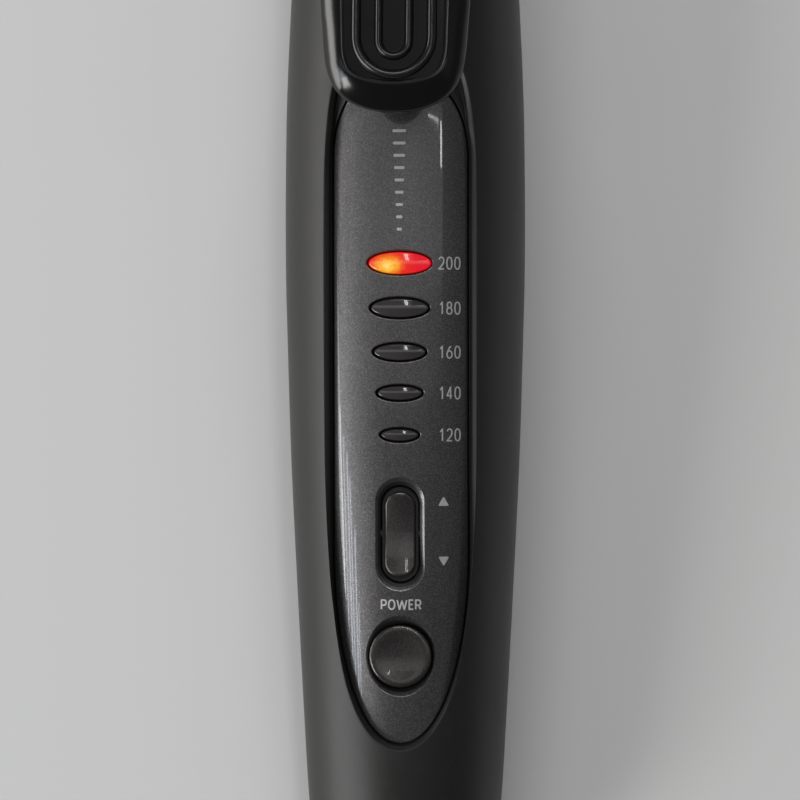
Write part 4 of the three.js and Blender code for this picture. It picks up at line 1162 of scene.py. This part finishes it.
def stroke_mesh(lines, width):
    """One flat mesh for lines of one pen width: bars and round joins, merged where they overlap."""
    polys = []
    ring = np.linspace(0, 2 * math.pi, 10, endpoint=False)
    for ln in lines:
        p = np.array([q for k, q in enumerate(ln) if k == 0 or np.hypot(*(np.array(q) - np.array(ln[k - 1]))) > 1e-4], float)
        for a, b in zip(p[:-1], p[1:]):
            d = (b - a) / np.linalg.norm(b - a)
            n_ = np.array([-d[1], d[0]]) * width / 2
            polys.append(np.array([a - n_, b - n_, b + n_, a + n_]))
        for k in range(1, len(p) - 1):
            polys.append(p[k] + 0.995 * width / 2 * np.stack([np.cos(ring), np.sin(ring)], 1))
    pts, faces = [], []
    for q in polys:
        faces.append([len(pts) + i for i in range(len(q))])
        pts += [Vector(x) for x in q]
    v, _e, f, _a, _b, _c = delaunay_2d_cdt(pts, [], faces, 0, 1e-5)
    v = np.array([tuple(q) for q in v])
    f = np.array([t for t in f if len(t) == 3])
    cen = v[f].mean(1)
    keep = np.zeros(len(f), bool)
    for q in polys:
        keep |= inside(q, cen)
    a, b, c = v[f[:, 0]], v[f[:, 1]], v[f[:, 2]]
    z = (b[:, 0] - a[:, 0]) * (c[:, 1] - a[:, 1]) - (b[:, 1] - a[:, 1]) * (c[:, 0] - a[:, 0])
    f[z < 0] = f[z < 0][:, ::-1]
    f = f[keep & (np.abs(z) > 1e-8)]
    used = np.unique(f)
    new = -np.ones(len(v), int)
    new[used] = np.arange(len(used))
    return v[used], new[f]


def print_text(name, body, height, cx, cy, width, gap, pen):
    """Plain characters in a pen of even width, centred at (cx, cy), width being that of a character one unit wide."""
    total = sum(GLYPHS[ch][0] for ch in body) * width + gap * (len(body) - 1)
    x = cx - total / 2
    s = Soup()
    for ch in body:
        w_, lines = GLYPHS[ch]
        w_ = w_ * width
        at = [[(x + pen / 2 + q[0] * (w_ - pen), cy - height / 2 + pen / 2 + q[1] * (height - pen)) for q in ln] for ln in lines]
        v, f = stroke_mesh(at, pen)
        s.add(on_panel(v, 0.03), f, 0, normals=panel_normal(v))
        x += w_ + gap
    return s.build(name, [M_PRINT], "handle", (), 60)


for (nm, y, a, b) in LEDS:
    print_text("numeral_" + nm, nm, 2.2, 8.26, y, 1.05, 0.25, 0.235)
print_mesh("mark_up", [[ccw(rounded([(6.35, -114.35), (8.15, -114.35), (7.25, -112.75)], 0.12, 4))]])
print_mesh("mark_down", [[ccw(rounded([(6.35, -122.85), (7.25, -124.45), (8.15, -122.85)], 0.12, 4))]])
print_text("label_power", "POWER", 1.8, 0.17, -130.85, 1.0, 0.16, 0.27)
# a plain column of fading dashes near the panel's top
dashes = []
for k in range(9):
    hw = 1.15 - 0.09 * k
    y = -51.8 - 2.05 * k
    dashes.append([ccw(rounded([(-hw, y - 0.24), (hw, y - 0.24), (hw, y + 0.24), (-hw, y + 0.24)], 0.2, 4))])
print_mesh("mark_dashes", dashes)

# ================================================================ thumb lever
LEVER_HALF = [(7.6, -1), (8.8, -6), (12.0, -14), (12.5, -22), (12.3, -31.3), (12.0, -35.5), (11.7, -39.6), (11.15, -42.7), (9.9, -45.5), (7.9, -47.5), (5.2, -48.8), (2.6, -49.4), (0, -49.55)]
TOP_HALF = [(6.4, -1.3), (7.2, -6), (8.75, -13), (9.0, -22), (8.95, -31.3), (8.85, -35.5), (8.75, -39.0), (8.45, -41.0), (7.7, -42.7), (6.3, -43.85), (4.3, -44.55), (2.1, -44.95), (0, -45.05)]


def both(half):
    pts = [(x, y) for x, y in half] + [(-x, y) for x, y in half[:-1][::-1]]
    return np.array(pts, float)


def z_top(y):
    return np.interp(y, [-49, -43.9, -30, -12, -1], [36.4, 35.75, 33.9, 31.5, 30.0])


def z_bot(y):
    return np.interp(y, [-49, -44.5, -30, -12, -1], [30.95, 30.3, 28.3, 26.2, 25.2])


def soft_line(half, n):
    """A dense outline from half-width stations, with a smooth side and square front corners."""
    h = np.array(half, float)
    side_ = catmull(np.column_stack([h, np.zeros(len(h))]), 260)[:, :2]
    side_[-1, 0] = 0
    full = np.vstack([side_, (side_ * [-1, 1])[::-1][1:]])
    return ccw(resample(full, n))


lev = Soup()
LN = 260
base_l, top_l = soft_line(LEVER_HALF, LN), soft_line(TOP_HALF, LN)
# match the two outlines station by station
def matched(n):
    h0, h1 = np.array(LEVER_HALF, float), np.array(TOP_HALF, float)
    s0 = catmull(np.column_stack([h0, np.arange(len(h0))]), 600)
    s1 = catmull(np.column_stack([h1, np.arange(len(h1))]), 600)
    d = np.concatenate([[0], np.cumsum(np.linalg.norm(np.diff(s0[:, :2], axis=0), axis=1))])
    par = np.interp(np.linspace(0, d[-1], n), d, s0[:, 2])
    a = np.stack([np.interp(par, s0[:, 2], s0[:, k]) for k in (0, 1)], 1)
    b = np.stack([np.interp(par, s1[:, 2], s1[:, k]) for k in (0, 1)], 1)
    a[-1, 0] = b[-1, 0] = 0
    # front edge, from the right corner back to the left one, closes the loop
    fr = 12
    fa = np.stack([np.linspace(-a[0, 0], a[0, 0], fr + 2)[1:-1], np.full(fr, a[0, 1])], 1)
    fb = np.stack([np.linspace(-b[0, 0], b[0, 0], fr + 2)[1:-1], np.full(fr, b[0, 1])], 1)
    A = np.vstack([a, (a * [-1, 1])[::-1][1:], fa])
    B = np.vstack([b, (b * [-1, 1])[::-1][1:], fb])
    return A, B


A_, B_ = matched(150)
if area2(A_) < 0:
    A_, B_ = A_[::-1].copy(), B_[::-1].copy()
FLOOR_IN, LIP = 0.22, 0.42
in_a = grow(B_, -(LIP + 0.28))
in_b = grow(B_, -LIP)
rr = [np.column_stack([in_a, z_top(in_a[:, 1]) - FLOOR_IN]), np.column_stack([grow(B_, -(LIP + 0.1)), z_top(B_[:, 1]) - FLOOR_IN * 0.75]),
      np.column_stack([in_b, z_top(in_b[:, 1]) - 0.05]), np.column_stack([grow(B_, -LIP * 0.6), z_top(B_[:, 1]) + 0.02]), np.column_stack([grow(B_, -LIP * 0.2), z_top(B_[:, 1]) - 0.01])]
wr = [0, 0.1, 0.6, 0.9, 0.6]
FL = 2.75
for s_ in np.linspace(0.06, 1, 15):
    a = s_ * math.pi / 2
    f_ = math.sin(a) ** 1.6
    uv = B_ + (A_ - B_) * f_
    zt = z_top(B_[:, 1]) * (1 - f_) + z_top(np.maximum(A_[:, 1], -46.5)) * f_
    rr.append(np.column_stack([uv, zt - FL * (1 - math.cos(a) ** 1.6)]))
    wr.append(0.0)
bottom = z_bot(A_[:, 1])
last = rr[-1]
for t in (0.4, 0.75):
    q_ = last.copy()
    q_[:, 2] = last[:, 2] * (1 - t) + (bottom + 0.45) * t
    rr.append(q_)
    wr.append(0.0)
for al in (0, 30, 60, 90):
    a = math.radians(al)
    uv = grow(A_, -0.45 * (1 - math.cos(a)))
    rr.append(np.column_stack([uv, bottom + 0.45 - 0.45 * math.sin(a)]))
    wr.append(0.3)
stack(lev, rr, 0, flip=True, wear=wr)
p2, f2 = sheet_2d(in_a, [], 0.8)
lev.add(np.column_stack([p2, z_top(p2[:, 1]) - FLOOR_IN]), f2, 0)
p2, f2 = sheet_2d(grow(A_, -0.45), [], 1.4)
lev.add(np.column_stack([p2, z_bot(p2[:, 1])]), f2[:, ::-1], 0)


def rib(soup, hw, hl, width, height, cy=-27.8):
    """A raised racetrack ridge on the lever's face; hw and hl are its outer half sizes."""
    c = ccw(stadium(0, cy, hw - width / 2, hl - width / 2, 26))
    n2 = normals2(c)
    rr_, w_ = [], []
    for x in np.linspace(-1, 1, 11):
        uv = c + n2 * x * width / 2
        hgt = (math.cos(x * math.pi / 2) ** 0.62) if abs(x) < 1 else 0.0
        rr_.append(np.column_stack([uv, z_top(uv[:, 1]) - FLOOR_IN - 0.05 + height * hgt]))
        w_.append(0.5 * hgt)
    stack(soup, rr_, 0, flip=True, wear=w_)


rib(lev, 7.1, 16.5, 1.75, 0.95)
rib(lev, 3.25, 13.3, 1.5, 0.95)
lev.build("thumb_rest", [M_THUMB], "clamp_lever", ["thumb_lever"], 40)

s = Soup()
screw_head(s, (0, -25, 28.9), 2.3, 1.5, -1)
s.build("thumb_rest_screw", [M_STEEL], "clamp_lever", ["lever_screw"])

# ================================================================ lever bracket
br = Soup()
line = rounded([(37.0, 18.27), (19.2, 18.27), (14.1, 22.6), (10.7, 26.45), (2.9, 27.4), (-6, 28.6), (-34, 32.4), (-34, 50), (37, 50)], [0, 1.6, 2.2, 2.4, 1.5, 3.0, 0, 0, 0], 10)
line = np.array([p for p in line if p[1] < 40])
line = resample(line, 150, closed=False)
tan = np.gradient(line, axis=0)
tan /= np.linalg.norm(tan, axis=1, keepdims=True)
nrm = np.stack([tan[:, 1], -tan[:, 0]], 1)
nrm *= np.where(nrm[:, 1:2] < 0, -1, 1)
half = np.where(line[:, 0] > 14.8, 7.4, np.where(line[:, 0] > -1.2, 6.5, 4.6))
half = np.where(line[:, 0] > 32, np.interp(line[:, 0], [32, 35, 37], [7.4, 6.4, 4.5]), half)
half = np.convolve(np.pad(half, 2, mode="edge"), np.ones(5) / 5, "valid")
bl = np.clip((line[:, 0] - 14.5) / 4.0, 0, 1)
bl = bl * bl * (3 - 2 * bl)
across = np.concatenate([[-1, -0.985], np.linspace(-0.95, 0.95, 21), [0.985, 1]])
edge_in = np.concatenate([[0.0, 0.75], np.ones(21), [0.75, 0.0]])
T_ = 0.6


def sheet_row(i, side_):
    x = across * half[i]
    sag = (18.25 - np.sqrt(np.maximum(18.25 ** 2 - x * x, 0.01))) * bl[i]
    off = side_ * T_ * edge_in
    p = line[i][None] + nrm[i][None] * off[:, None]
    return np.stack([x, p[:, 0], p[:, 1] - sag], 1)


for side_ in (1, -1):
    rows = [sheet_row(i, side_) for i in range(len(line))]
    n = len(across)
    br.add(np.concatenate(rows), quads(len(rows), n, closed=False, flip=side_ < 0), 0, wear=np.tile(1 - edge_in, len(rows)) * 0.8)
for i, fl in ((0, True), (len(line) - 1, False)):
    a, b = sheet_row(i, 1), sheet_row(i, -1)
    br.add(np.concatenate([a, b]), quads(2, len(across), closed=False, flip=fl), 0)
cheek = rounded([(19.5, 18.0), (14.6, 23.0), (11.2, 27.0), (3.0, 28.0), (2.6, 24.0), (3.6, 20.4), (6.2, 19.3), (9.5, 19.3), (14.8, 17.4)], [1.0, 1.5, 2.4, 1.6, 2, 2, 2, 2, 1.0], 6)
hole = ellipse(HINGE_Y, HINGE_Z, 1.6, 1.6, 32)
for x0, x1 in ((6.0, 7.2), (-7.2, -6.0)):
    plate(br, cheek, x0, x1, "u", 0.22, holes=[hole], step=1.2)
br.build("clamp_bracket", [M_STEEL], "clamp_lever", ["lever_bracket"], 40)

for k, y in enumerate((20.5, 31.5)):
    s = Soup()
    lathe(s, [(2.5, 18.95), (2.56, 19.1), (2.5, 19.4), (2.2, 19.85), (1.6, 20.18), (0.8, 20.36), (0.01, 20.4)][::-1], 48, 0, "w", (0, y, 0))
    s.build("rivet_%d" % (k + 1), [M_STEEL], "clamp_lever", [("clamp_rivet_rear", "clamp_rivet_front")[k]], 50)

# ================================================================ hair clamp
cl = Soup()
# half widths along the arc (mm at r = 17.3) against v, with eased corners
PLAN = np.array([(15.0, 8.6), (16.2, 11.0), (19.0, 14.2), (23.0, 17.2), (27.0, 19.6), (30.5, 20.6), (35.0, 20.83), (60.0, 20.83), (112.0, 20.83), (117.0, 20.5), (121.5, 19.2), (126.0, 16.6), (129.5, 13.2), (131.8, 9.6), (132.7, 7.0), (133.0, 5.2)])
ys = np.concatenate([15 + 3 * (1 - np.cos(np.linspace(0, math.pi / 2, 12))), np.linspace(18.4, 32, 26), np.linspace(33, 112, 60), np.linspace(113, 129.6, 28), 130 + 3 * np.sin(np.linspace(0, math.pi / 2, 14))])


def eased(x, kx, ky):
    d = np.diff(ky) / np.diff(kx)
    m = np.concatenate([[d[0]], np.where(d[:-1] * d[1:] <= 0, 0, 2 * d[:-1] * d[1:] / np.where(d[:-1] + d[1:] == 0, 1, d[:-1] + d[1:])), [d[-1]]])
    i = np.clip(np.searchsorted(kx, x) - 1, 0, len(kx) - 2)
    h = kx[i + 1] - kx[i]
    t = (x - kx[i]) / h
    return (2 * t ** 3 - 3 * t ** 2 + 1) * ky[i] + (t ** 3 - 2 * t ** 2 + t) * h * m[i] + (-2 * t ** 3 + 3 * t ** 2) * ky[i + 1] + (t ** 3 - t ** 2) * h * m[i + 1]


plan_s = eased(ys, PLAN[:, 0], PLAN[:, 1])
CN = 61
tt_ = np.linspace(-1, 1, CN)
tt_ = np.sign(tt_) * (1 - (1 - np.abs(tt_)) ** 1.25)
rin, rout = 16.4, 17.3
lip = np.clip((ys - 124) / 9.0, 0, 1) ** 2 * 0.45


def clamp_rows(r, shrink):
    out = []
    for y, px, l_ in zip(ys, plan_s, lip):
        ang_max = px / 17.3 - shrink / 17.0
        a = tt_ * ang_max
        out.append(np.stack([(r + l_) * np.sin(a), np.full(CN, y), (r + l_) * np.cos(a)], 1))
    return out


top_rows, bot_rows = clamp_rows(rout, 0.25), clamp_rows(rin, 0.25)
R_ = len(ys)


def border_of(rows, inset_y=0.0):
    rows = [r.copy() for r in rows]
    return np.array([rows[0][c] for c in range(CN)] + [rows[r_][CN - 1] for r_ in range(1, R_)] + [rows[R_ - 1][c] for c in range(CN - 2, -1, -1)] + [rows[r_][0] for r_ in range(R_ - 2, 0, -1)])


cl.add(np.concatenate(top_rows), quads(R_, CN, closed=False), 0)
cl.add(np.concatenate(bot_rows), quads(R_, CN, closed=False, flip=True), 0)
mid1, mid2 = clamp_rows(rout - 0.12, 0.05), clamp_rows(rout - 0.45, 0.0)
mid3 = clamp_rows(rin + 0.12, 0.05)
stack(cl, [border_of(top_rows), border_of(mid1), border_of(mid2), border_of(mid3), border_of(bot_rows)], 0, flip=False, wear=[0.3, 0.8, 0.6, 0.5, 0.2])
cl.build("hair_clamp", [M_BARREL], "clamp_lever", ["clamp_plate"], 45)

# ================================================================ barrel, tip and plug
s = Soup()
lathe(s, [(15.0, 134.0), (15.75, 134.0), (15.93, 133.93), (16.0, 133.75)] + [(16.0, y) for y in np.linspace(133, -23.6, 60)] + [(15.9, -23.9), (15.7, -24.0), (15.0, -24.0)], 160, 0)
s.build("barrel", [M_BARREL], "handle", ["barrel_tube"], 40)
s = Soup()
tip = [(14.6, 124.0), (14.6, 134.2), (15.7, 134.2)] + arc_pts(15.72, 134.5, 0.3, -90, 0, 4)
tip += [(16.06, 136.2), (16.08, 137.0), (15.75, 137.3), (15.62, 137.6), (15.62, 138.0), (15.75, 138.3), (16.08, 138.6), (16.1, 139.4), (15.78, 139.7), (15.64, 140.0), (15.64, 140.4), (15.78, 140.7), (16.08, 141.0)]
tip += [(16.0, 142.4), (15.75, 144.2), (15.2, 145.8), (14.35, 147.1), (13.2, 148.1), (11.7, 148.85), (9.8, 149.4), (7.2, 149.78), (4.0, 149.96), (0.01, 150.0)]
lathe(s, tip[::-1], 144, 0)
s.build("tip", [M_RESIN], "handle", ["tip_cap"], 40)

# ================================================================ front collar
co = Soup()
ring_prof = [(16.35, 0.5), (16.5, 0.32), (17.9, 0.32), (18.12, 0.42), (18.2, 0.65), (18.2, 10.9), (18.12, 11.5), (17.9, 12.3), (17.6, 12.9), (17.2, 13.3), (16.9, 13.48), (16.5, 13.5), (16.35, 13.35), (16.35, 0.5)]
lathe(co, ring_prof[::-1], 144, 0)
ear = [(2.2, 14.0), (3.3, 20.6)] + [(HINGE_Y + 3.4 * math.cos(t), HINGE_Z + 3.3 * math.sin(t)) for t in np.linspace(math.pi, 0, 25)] + [(11.4, 19.5), (12.6, 14.0)]
for x0, x1 in ((8.4, 10.9), (-10.9, -8.4)):
    plate(co, np.array(ear), x0, x1, "u", 0.35, holes=[hole], step=1.3)
for sgn in (1, -1):
    prof = [(3.05, 13.6), (3.1, 14.0), (3.1, 18.25), (3.02, 18.5), (2.85, 18.68), (2.2, 18.7), (1.98, 18.62), (1.9, 18.4), (1.9, 16.95), (0.01, 16.9)]
    lathe(co, [(r, sgn * h) for r, h in (prof if sgn > 0 else prof)][::-1] if sgn > 0 else [(r, sgn * h) for r, h in prof], 48, 0, "u", (0, STAND_Y, STAND_Z))
    stop = rounded([(10.15, -14.6), (13.2, -14.2), (13.2, -10.2), (9.0, -10.2)], 0.5, 5)
    x0, x1 = (14.6, 22.4) if sgn > 0 else (-22.4, -14.6)
    plate(co, stop, x0, x1, "u", 0.4, step=1.4)
co.build("collar", [M_RESIN], "handle", ["front_collar"], 40)
s = Soup()
screw_head(s, (0, 5, -18.5), 2.3, 1.25, -1)
s.build("collar_screw_head", [M_STEEL], "handle", ["collar_screw"])
s = Soup()
for sgn in (1, -1):
    pf = [(0.01, 12.6), (1.5, 12.6), (1.95, 12.5), (2.22, 12.25), (2.3, 12.0), (2.3, 11.35), (2.2, 11.2), (1.25, 11.2), (1.25, 0.0)]
    lathe(s, [(r, sgn * h) for r, h in pf][::(1 if sgn < 0 else -1)], 48, 0, "u", (0, HINGE_Y, HINGE_Z))
s.build("hinge_rod", [M_STEEL], "handle", ["hinge_pin"], 40)

# torsion spring
pts = [(-3.4, HINGE_Y + 6.4, HINGE_Z - 3.1), (-3.4, HINGE_Y + 3.2, HINGE_Z - 2.9)]
for k in range(150):
    t = k / 149
    a = -math.pi / 2 - 2 * math.pi * 3.25 * t
    pts.append((-3.3 + 6.6 * t, HINGE_Y + 2.6 * math.cos(a), HINGE_Z + 2.6 * math.sin(a)))
pts += [(3.4, HINGE_Y - 2.75, HINGE_Z + 1.3), (3.4, HINGE_Y - 3.3, HINGE_Z + 3.1)]
s = Soup()
tube(s, catmull(pts, 420), 0.45, 12)
s.build("spring_coil", [M_SPRING], "handle", ["torsion_spring"], 60)

# ================================================================ wire stand and feet
foot_depth = (AXIS_H + FOOT_Y * ST) / CT
bar_z = -(foot_depth - 2.7 / CT)


def leg(sg, f):
    return (sg * STAND_W, STAND_Y + (FOOT_Y - STAND_Y) * f, STAND_Z + (bar_z - STAND_Z) * f)


wire = [(-17.3, STAND_Y, STAND_Z), (-18.4, STAND_Y, STAND_Z), (-19.7, STAND_Y, STAND_Z), leg(-1, 0.08), leg(-1, 0.3), leg(-1, 0.62), leg(-1, 0.86),
        (-STAND_W + 2.2, FOOT_Y, bar_z), (-STAND_W + 6, FOOT_Y, bar_z), (-7, FOOT_Y, bar_z), (0, FOOT_Y, bar_z)]
wire += [(-x, y, z) for x, y, z in wire[:-1][::-1]]
s = Soup()
tube(s, catmull(wire, 300), STAND_R, 28)
s.build("stand_wire", [M_CHROME], "stand", ["wire_stand"], 60)
outline = rounded([(-3.1, -2.7), (3.1, -2.7), (3.6, -1.9), (3.2, 1.6), (1.9, 2.6), (-1.9, 2.6), (-3.2, 1.6), (-3.6, -1.9)], 0.8, 5)
c5, s5 = math.cos(-TILT), math.sin(-TILT)
rot = np.stack([outline[:, 0] * c5 - outline[:, 1] * s5, outline[:, 0] * s5 + outline[:, 1] * c5], 1)
borec = ellipse(0, 0, 1.62, 1.62, 32)
for nm, cx in (("left", -11.2), ("right", 11.2)):
    s = Soup()
    o = rot + np.array([FOOT_Y, bar_z])
    plate(s, o, cx - 5, cx + 5, "u", 0.7, holes=[borec + np.array([FOOT_Y, bar_z])], step=1.0, steps=6)
    s.build("foot_" + nm, [M_RUBBER], "stand", ["stand_foot_" + nm], 50)

# ================================================================ swivel hub
s = Soup()
hub = [(4.3, -161.6), (4.3, -186.9)] + arc_pts(4.95, -187.35, 0.65, 180, 270, 5) + [(5.6, -188.0), (6.1, -187.8), (6.9, -186.9), (7.5, -185.9), (8.0, -184.7), (8.28, -183.2), (8.4, -181.2), (8.36, -180.8), (8.15, -180.62), (6.95, -180.6), (6.95, -173.8), (9.6, -173.8), (9.6, -171.6), (6.3, -171.6), (6.3, -161.5), (4.3, -161.5)]
lathe(s, hub[::-1], 96, 0)
s.build("cord_hub", [M_RESIN], "cord_swivel", ["swivel_hub"], 40)

# ================================================================ stage, light and camera
fl = bpy.data.meshes.new("floor")
fl.from_pydata([(-14, -14, 0), (14, -14, 0), (14, 14, 0), (-14, 14, 0)], [], [(0, 1, 2, 3)])
floor = bpy.data.objects.new("floor", fl)
SCENE.collection.objects.link(floor)
mt, nt, b = principled("floor_pale", (0.86, 0.86, 0.85), 0.75)
fl.materials.append(mt)

world = bpy.data.worlds.new("world")
world.use_nodes = True
world.node_tree.nodes["Background"].inputs["Color"].default_value = (0.95, 0.97, 1.0, 1)
world.node_tree.nodes["Background"].inputs["Strength"].default_value = 0.1
SCENE.world = world


def area_light(name, loc, target, size, size_y, power, colour=(1, 1, 1), roll=0.0):
    """A soft box at loc turned to target: size is its extent along the row's Y, size_y across that."""
    li = bpy.data.lights.new(name, "AREA")
    li.shape = "RECTANGLE"
    li.size, li.size_y = size, size_y
    li.energy = power
    li.color = colour
    o = bpy.data.objects.new(name, li)
    z = (Vector(loc) - Vector(target)).normalized()
    x = Vector((0, -1, 0)) + z * z.y
    x.normalize()
    y = z.cross(x)
    turn = Matrix((x, y, z)).transposed().to_quaternion() @ Quaternion((0, 0, 1), math.radians(roll))
    o.location = loc
    o.rotation_euler = turn.to_euler()
    SCENE.collection.objects.link(o)
    return o


key = area_light("key_left", (-0.98, -0.10, 0.176), (0, -0.10, 0.03), 1.15, 0.29, 6.0, (1.0, 0.985, 0.955))
# a flag keeps the low side light off the floor, which it would burn out close to the lamp
flagged = bpy.data.collections.new("flagged")
flagged.objects.link(floor)
key.light_linking.receiver_collection = flagged
flagged.collection_objects[0].light_linking.link_state = "EXCLUDE"
area_light("fill_left", (-0.69, -0.545, 0.51), (0, -0.10, 0.03), 0.30, 0.30, 2.9, (1.0, 0.99, 0.97))
streak = area_light("streak_left", (-0.886, -0.33, 0.43), (0, -0.10, 0.03), 0.26, 0.36, 0.05, (0.84, 0.92, 1.0), 0)
bpy.context.view_layer.update()
slat_up = streak.matrix_world.to_quaternion() @ Vector((0, 1, 0))
slat_in = streak.matrix_world.to_quaternion() @ Vector((0, 0, -1))
# six louvres, each starting further back than the one above it
for k, (hi, wide_k, off_k) in enumerate(((-0.29, 0.018, -0.012), (-0.254, 0.030, 0.004), (-0.212, 0.024, -0.006), (-0.188, 0.032, 0.006), (-0.170, 0.022, -0.004), (-0.150, 0.028, 0.0))):
    mid = streak.location + slat_up * 0.066 * (2.9 - k) + slat_in * 0.01
    mid.y = (hi - 0.47) / 2
    for tag, wide, off, watt in (("glow", 0.066, 0.0, 0.045), ("slat", wide_k, off_k, 6.0 * wide_k)):
        o = area_light("streak_%s_%d" % (tag, k + 1), mid + slat_up * off + slat_in * (0.004 if tag != "glow" else 0.0), (0, 0, 0),
                       hi + 0.47, wide, watt * (hi + 0.47) / 0.26, (0.84, 0.92, 1.0))
        o.rotation_euler = streak.rotation_euler
for k, (lo, hi) in enumerate(((-0.15, 0.02), (-0.20, 0.03), (-0.25, 0.04))):
    area_light("sky_%d" % (k + 1), (-0.42, (lo + hi) / 2, 1.13 + 0.01 * k), (-0.42, (lo + hi) / 2, 0.05), hi - lo, 2.9, 0.62 * (hi - lo) / 0.28, (1.0, 0.985, 0.99))
for k, dx in enumerate((0.13, 0.18)):
    area_light("top_strip_%d" % (k + 1), (dx, 0.25, 1.10), (dx * 0.2, -0.10, 0.05), 0.44, 0.016, 0.5, (1, 1, 1), 8)
area_light("top_back", (0.0, 0.62, 0.84), (0, -0.10, 0.03), 0.26, 0.6, 3.0)
area_light("kicker_right", (0.625, -0.031, 0.745), (0, -0.034, 0.05), 0.022, 0.028, 0.03)
area_light("kicker_turn", (0.52, -0.021, 0.84), (0, -0.034, 0.05), 0.006, 0.19, 0.03)
area_light("rim_right", (0.80, -0.05, 0.55), (0, -0.10, 0.03), 0.7, 0.45, 0.08, (0.84, 0.92, 1.0))

cam = bpy.data.cameras.new("camera")
cam.sensor_width = 36.0
cam.clip_start, cam.clip_end = 0.05, 20
DIST = 900.0
cam.lens = 36.0 * DIST / 133.33
cam_ob = bpy.data.objects.new("camera", cam)
SCENE.collection.objects.link(cam_ob)
SCENE.camera = cam_ob
target = np.array([0.1, -96.67, 18.1])
off = math.radians(3.2)
eye = target + DIST * np.array([math.sin(off), 0, math.cos(off)])
t_row, e_row = Vector(to_row(target)[0]), Vector(to_row(eye)[0])
fwd = (t_row - e_row).normalized()
up = WV - fwd * WV.dot(fwd)
up.normalize()
right = fwd.cross(up)
rot_m = Matrix((right, up, -fwd)).transposed()
cam_ob.matrix_world = Matrix.Translation(e_row) @ rot_m.to_4x4()
SCENE.view_settings.view_transform = "Standard"
SCENE.view_settings.look = "None"

bpy.context.view_layer.update()
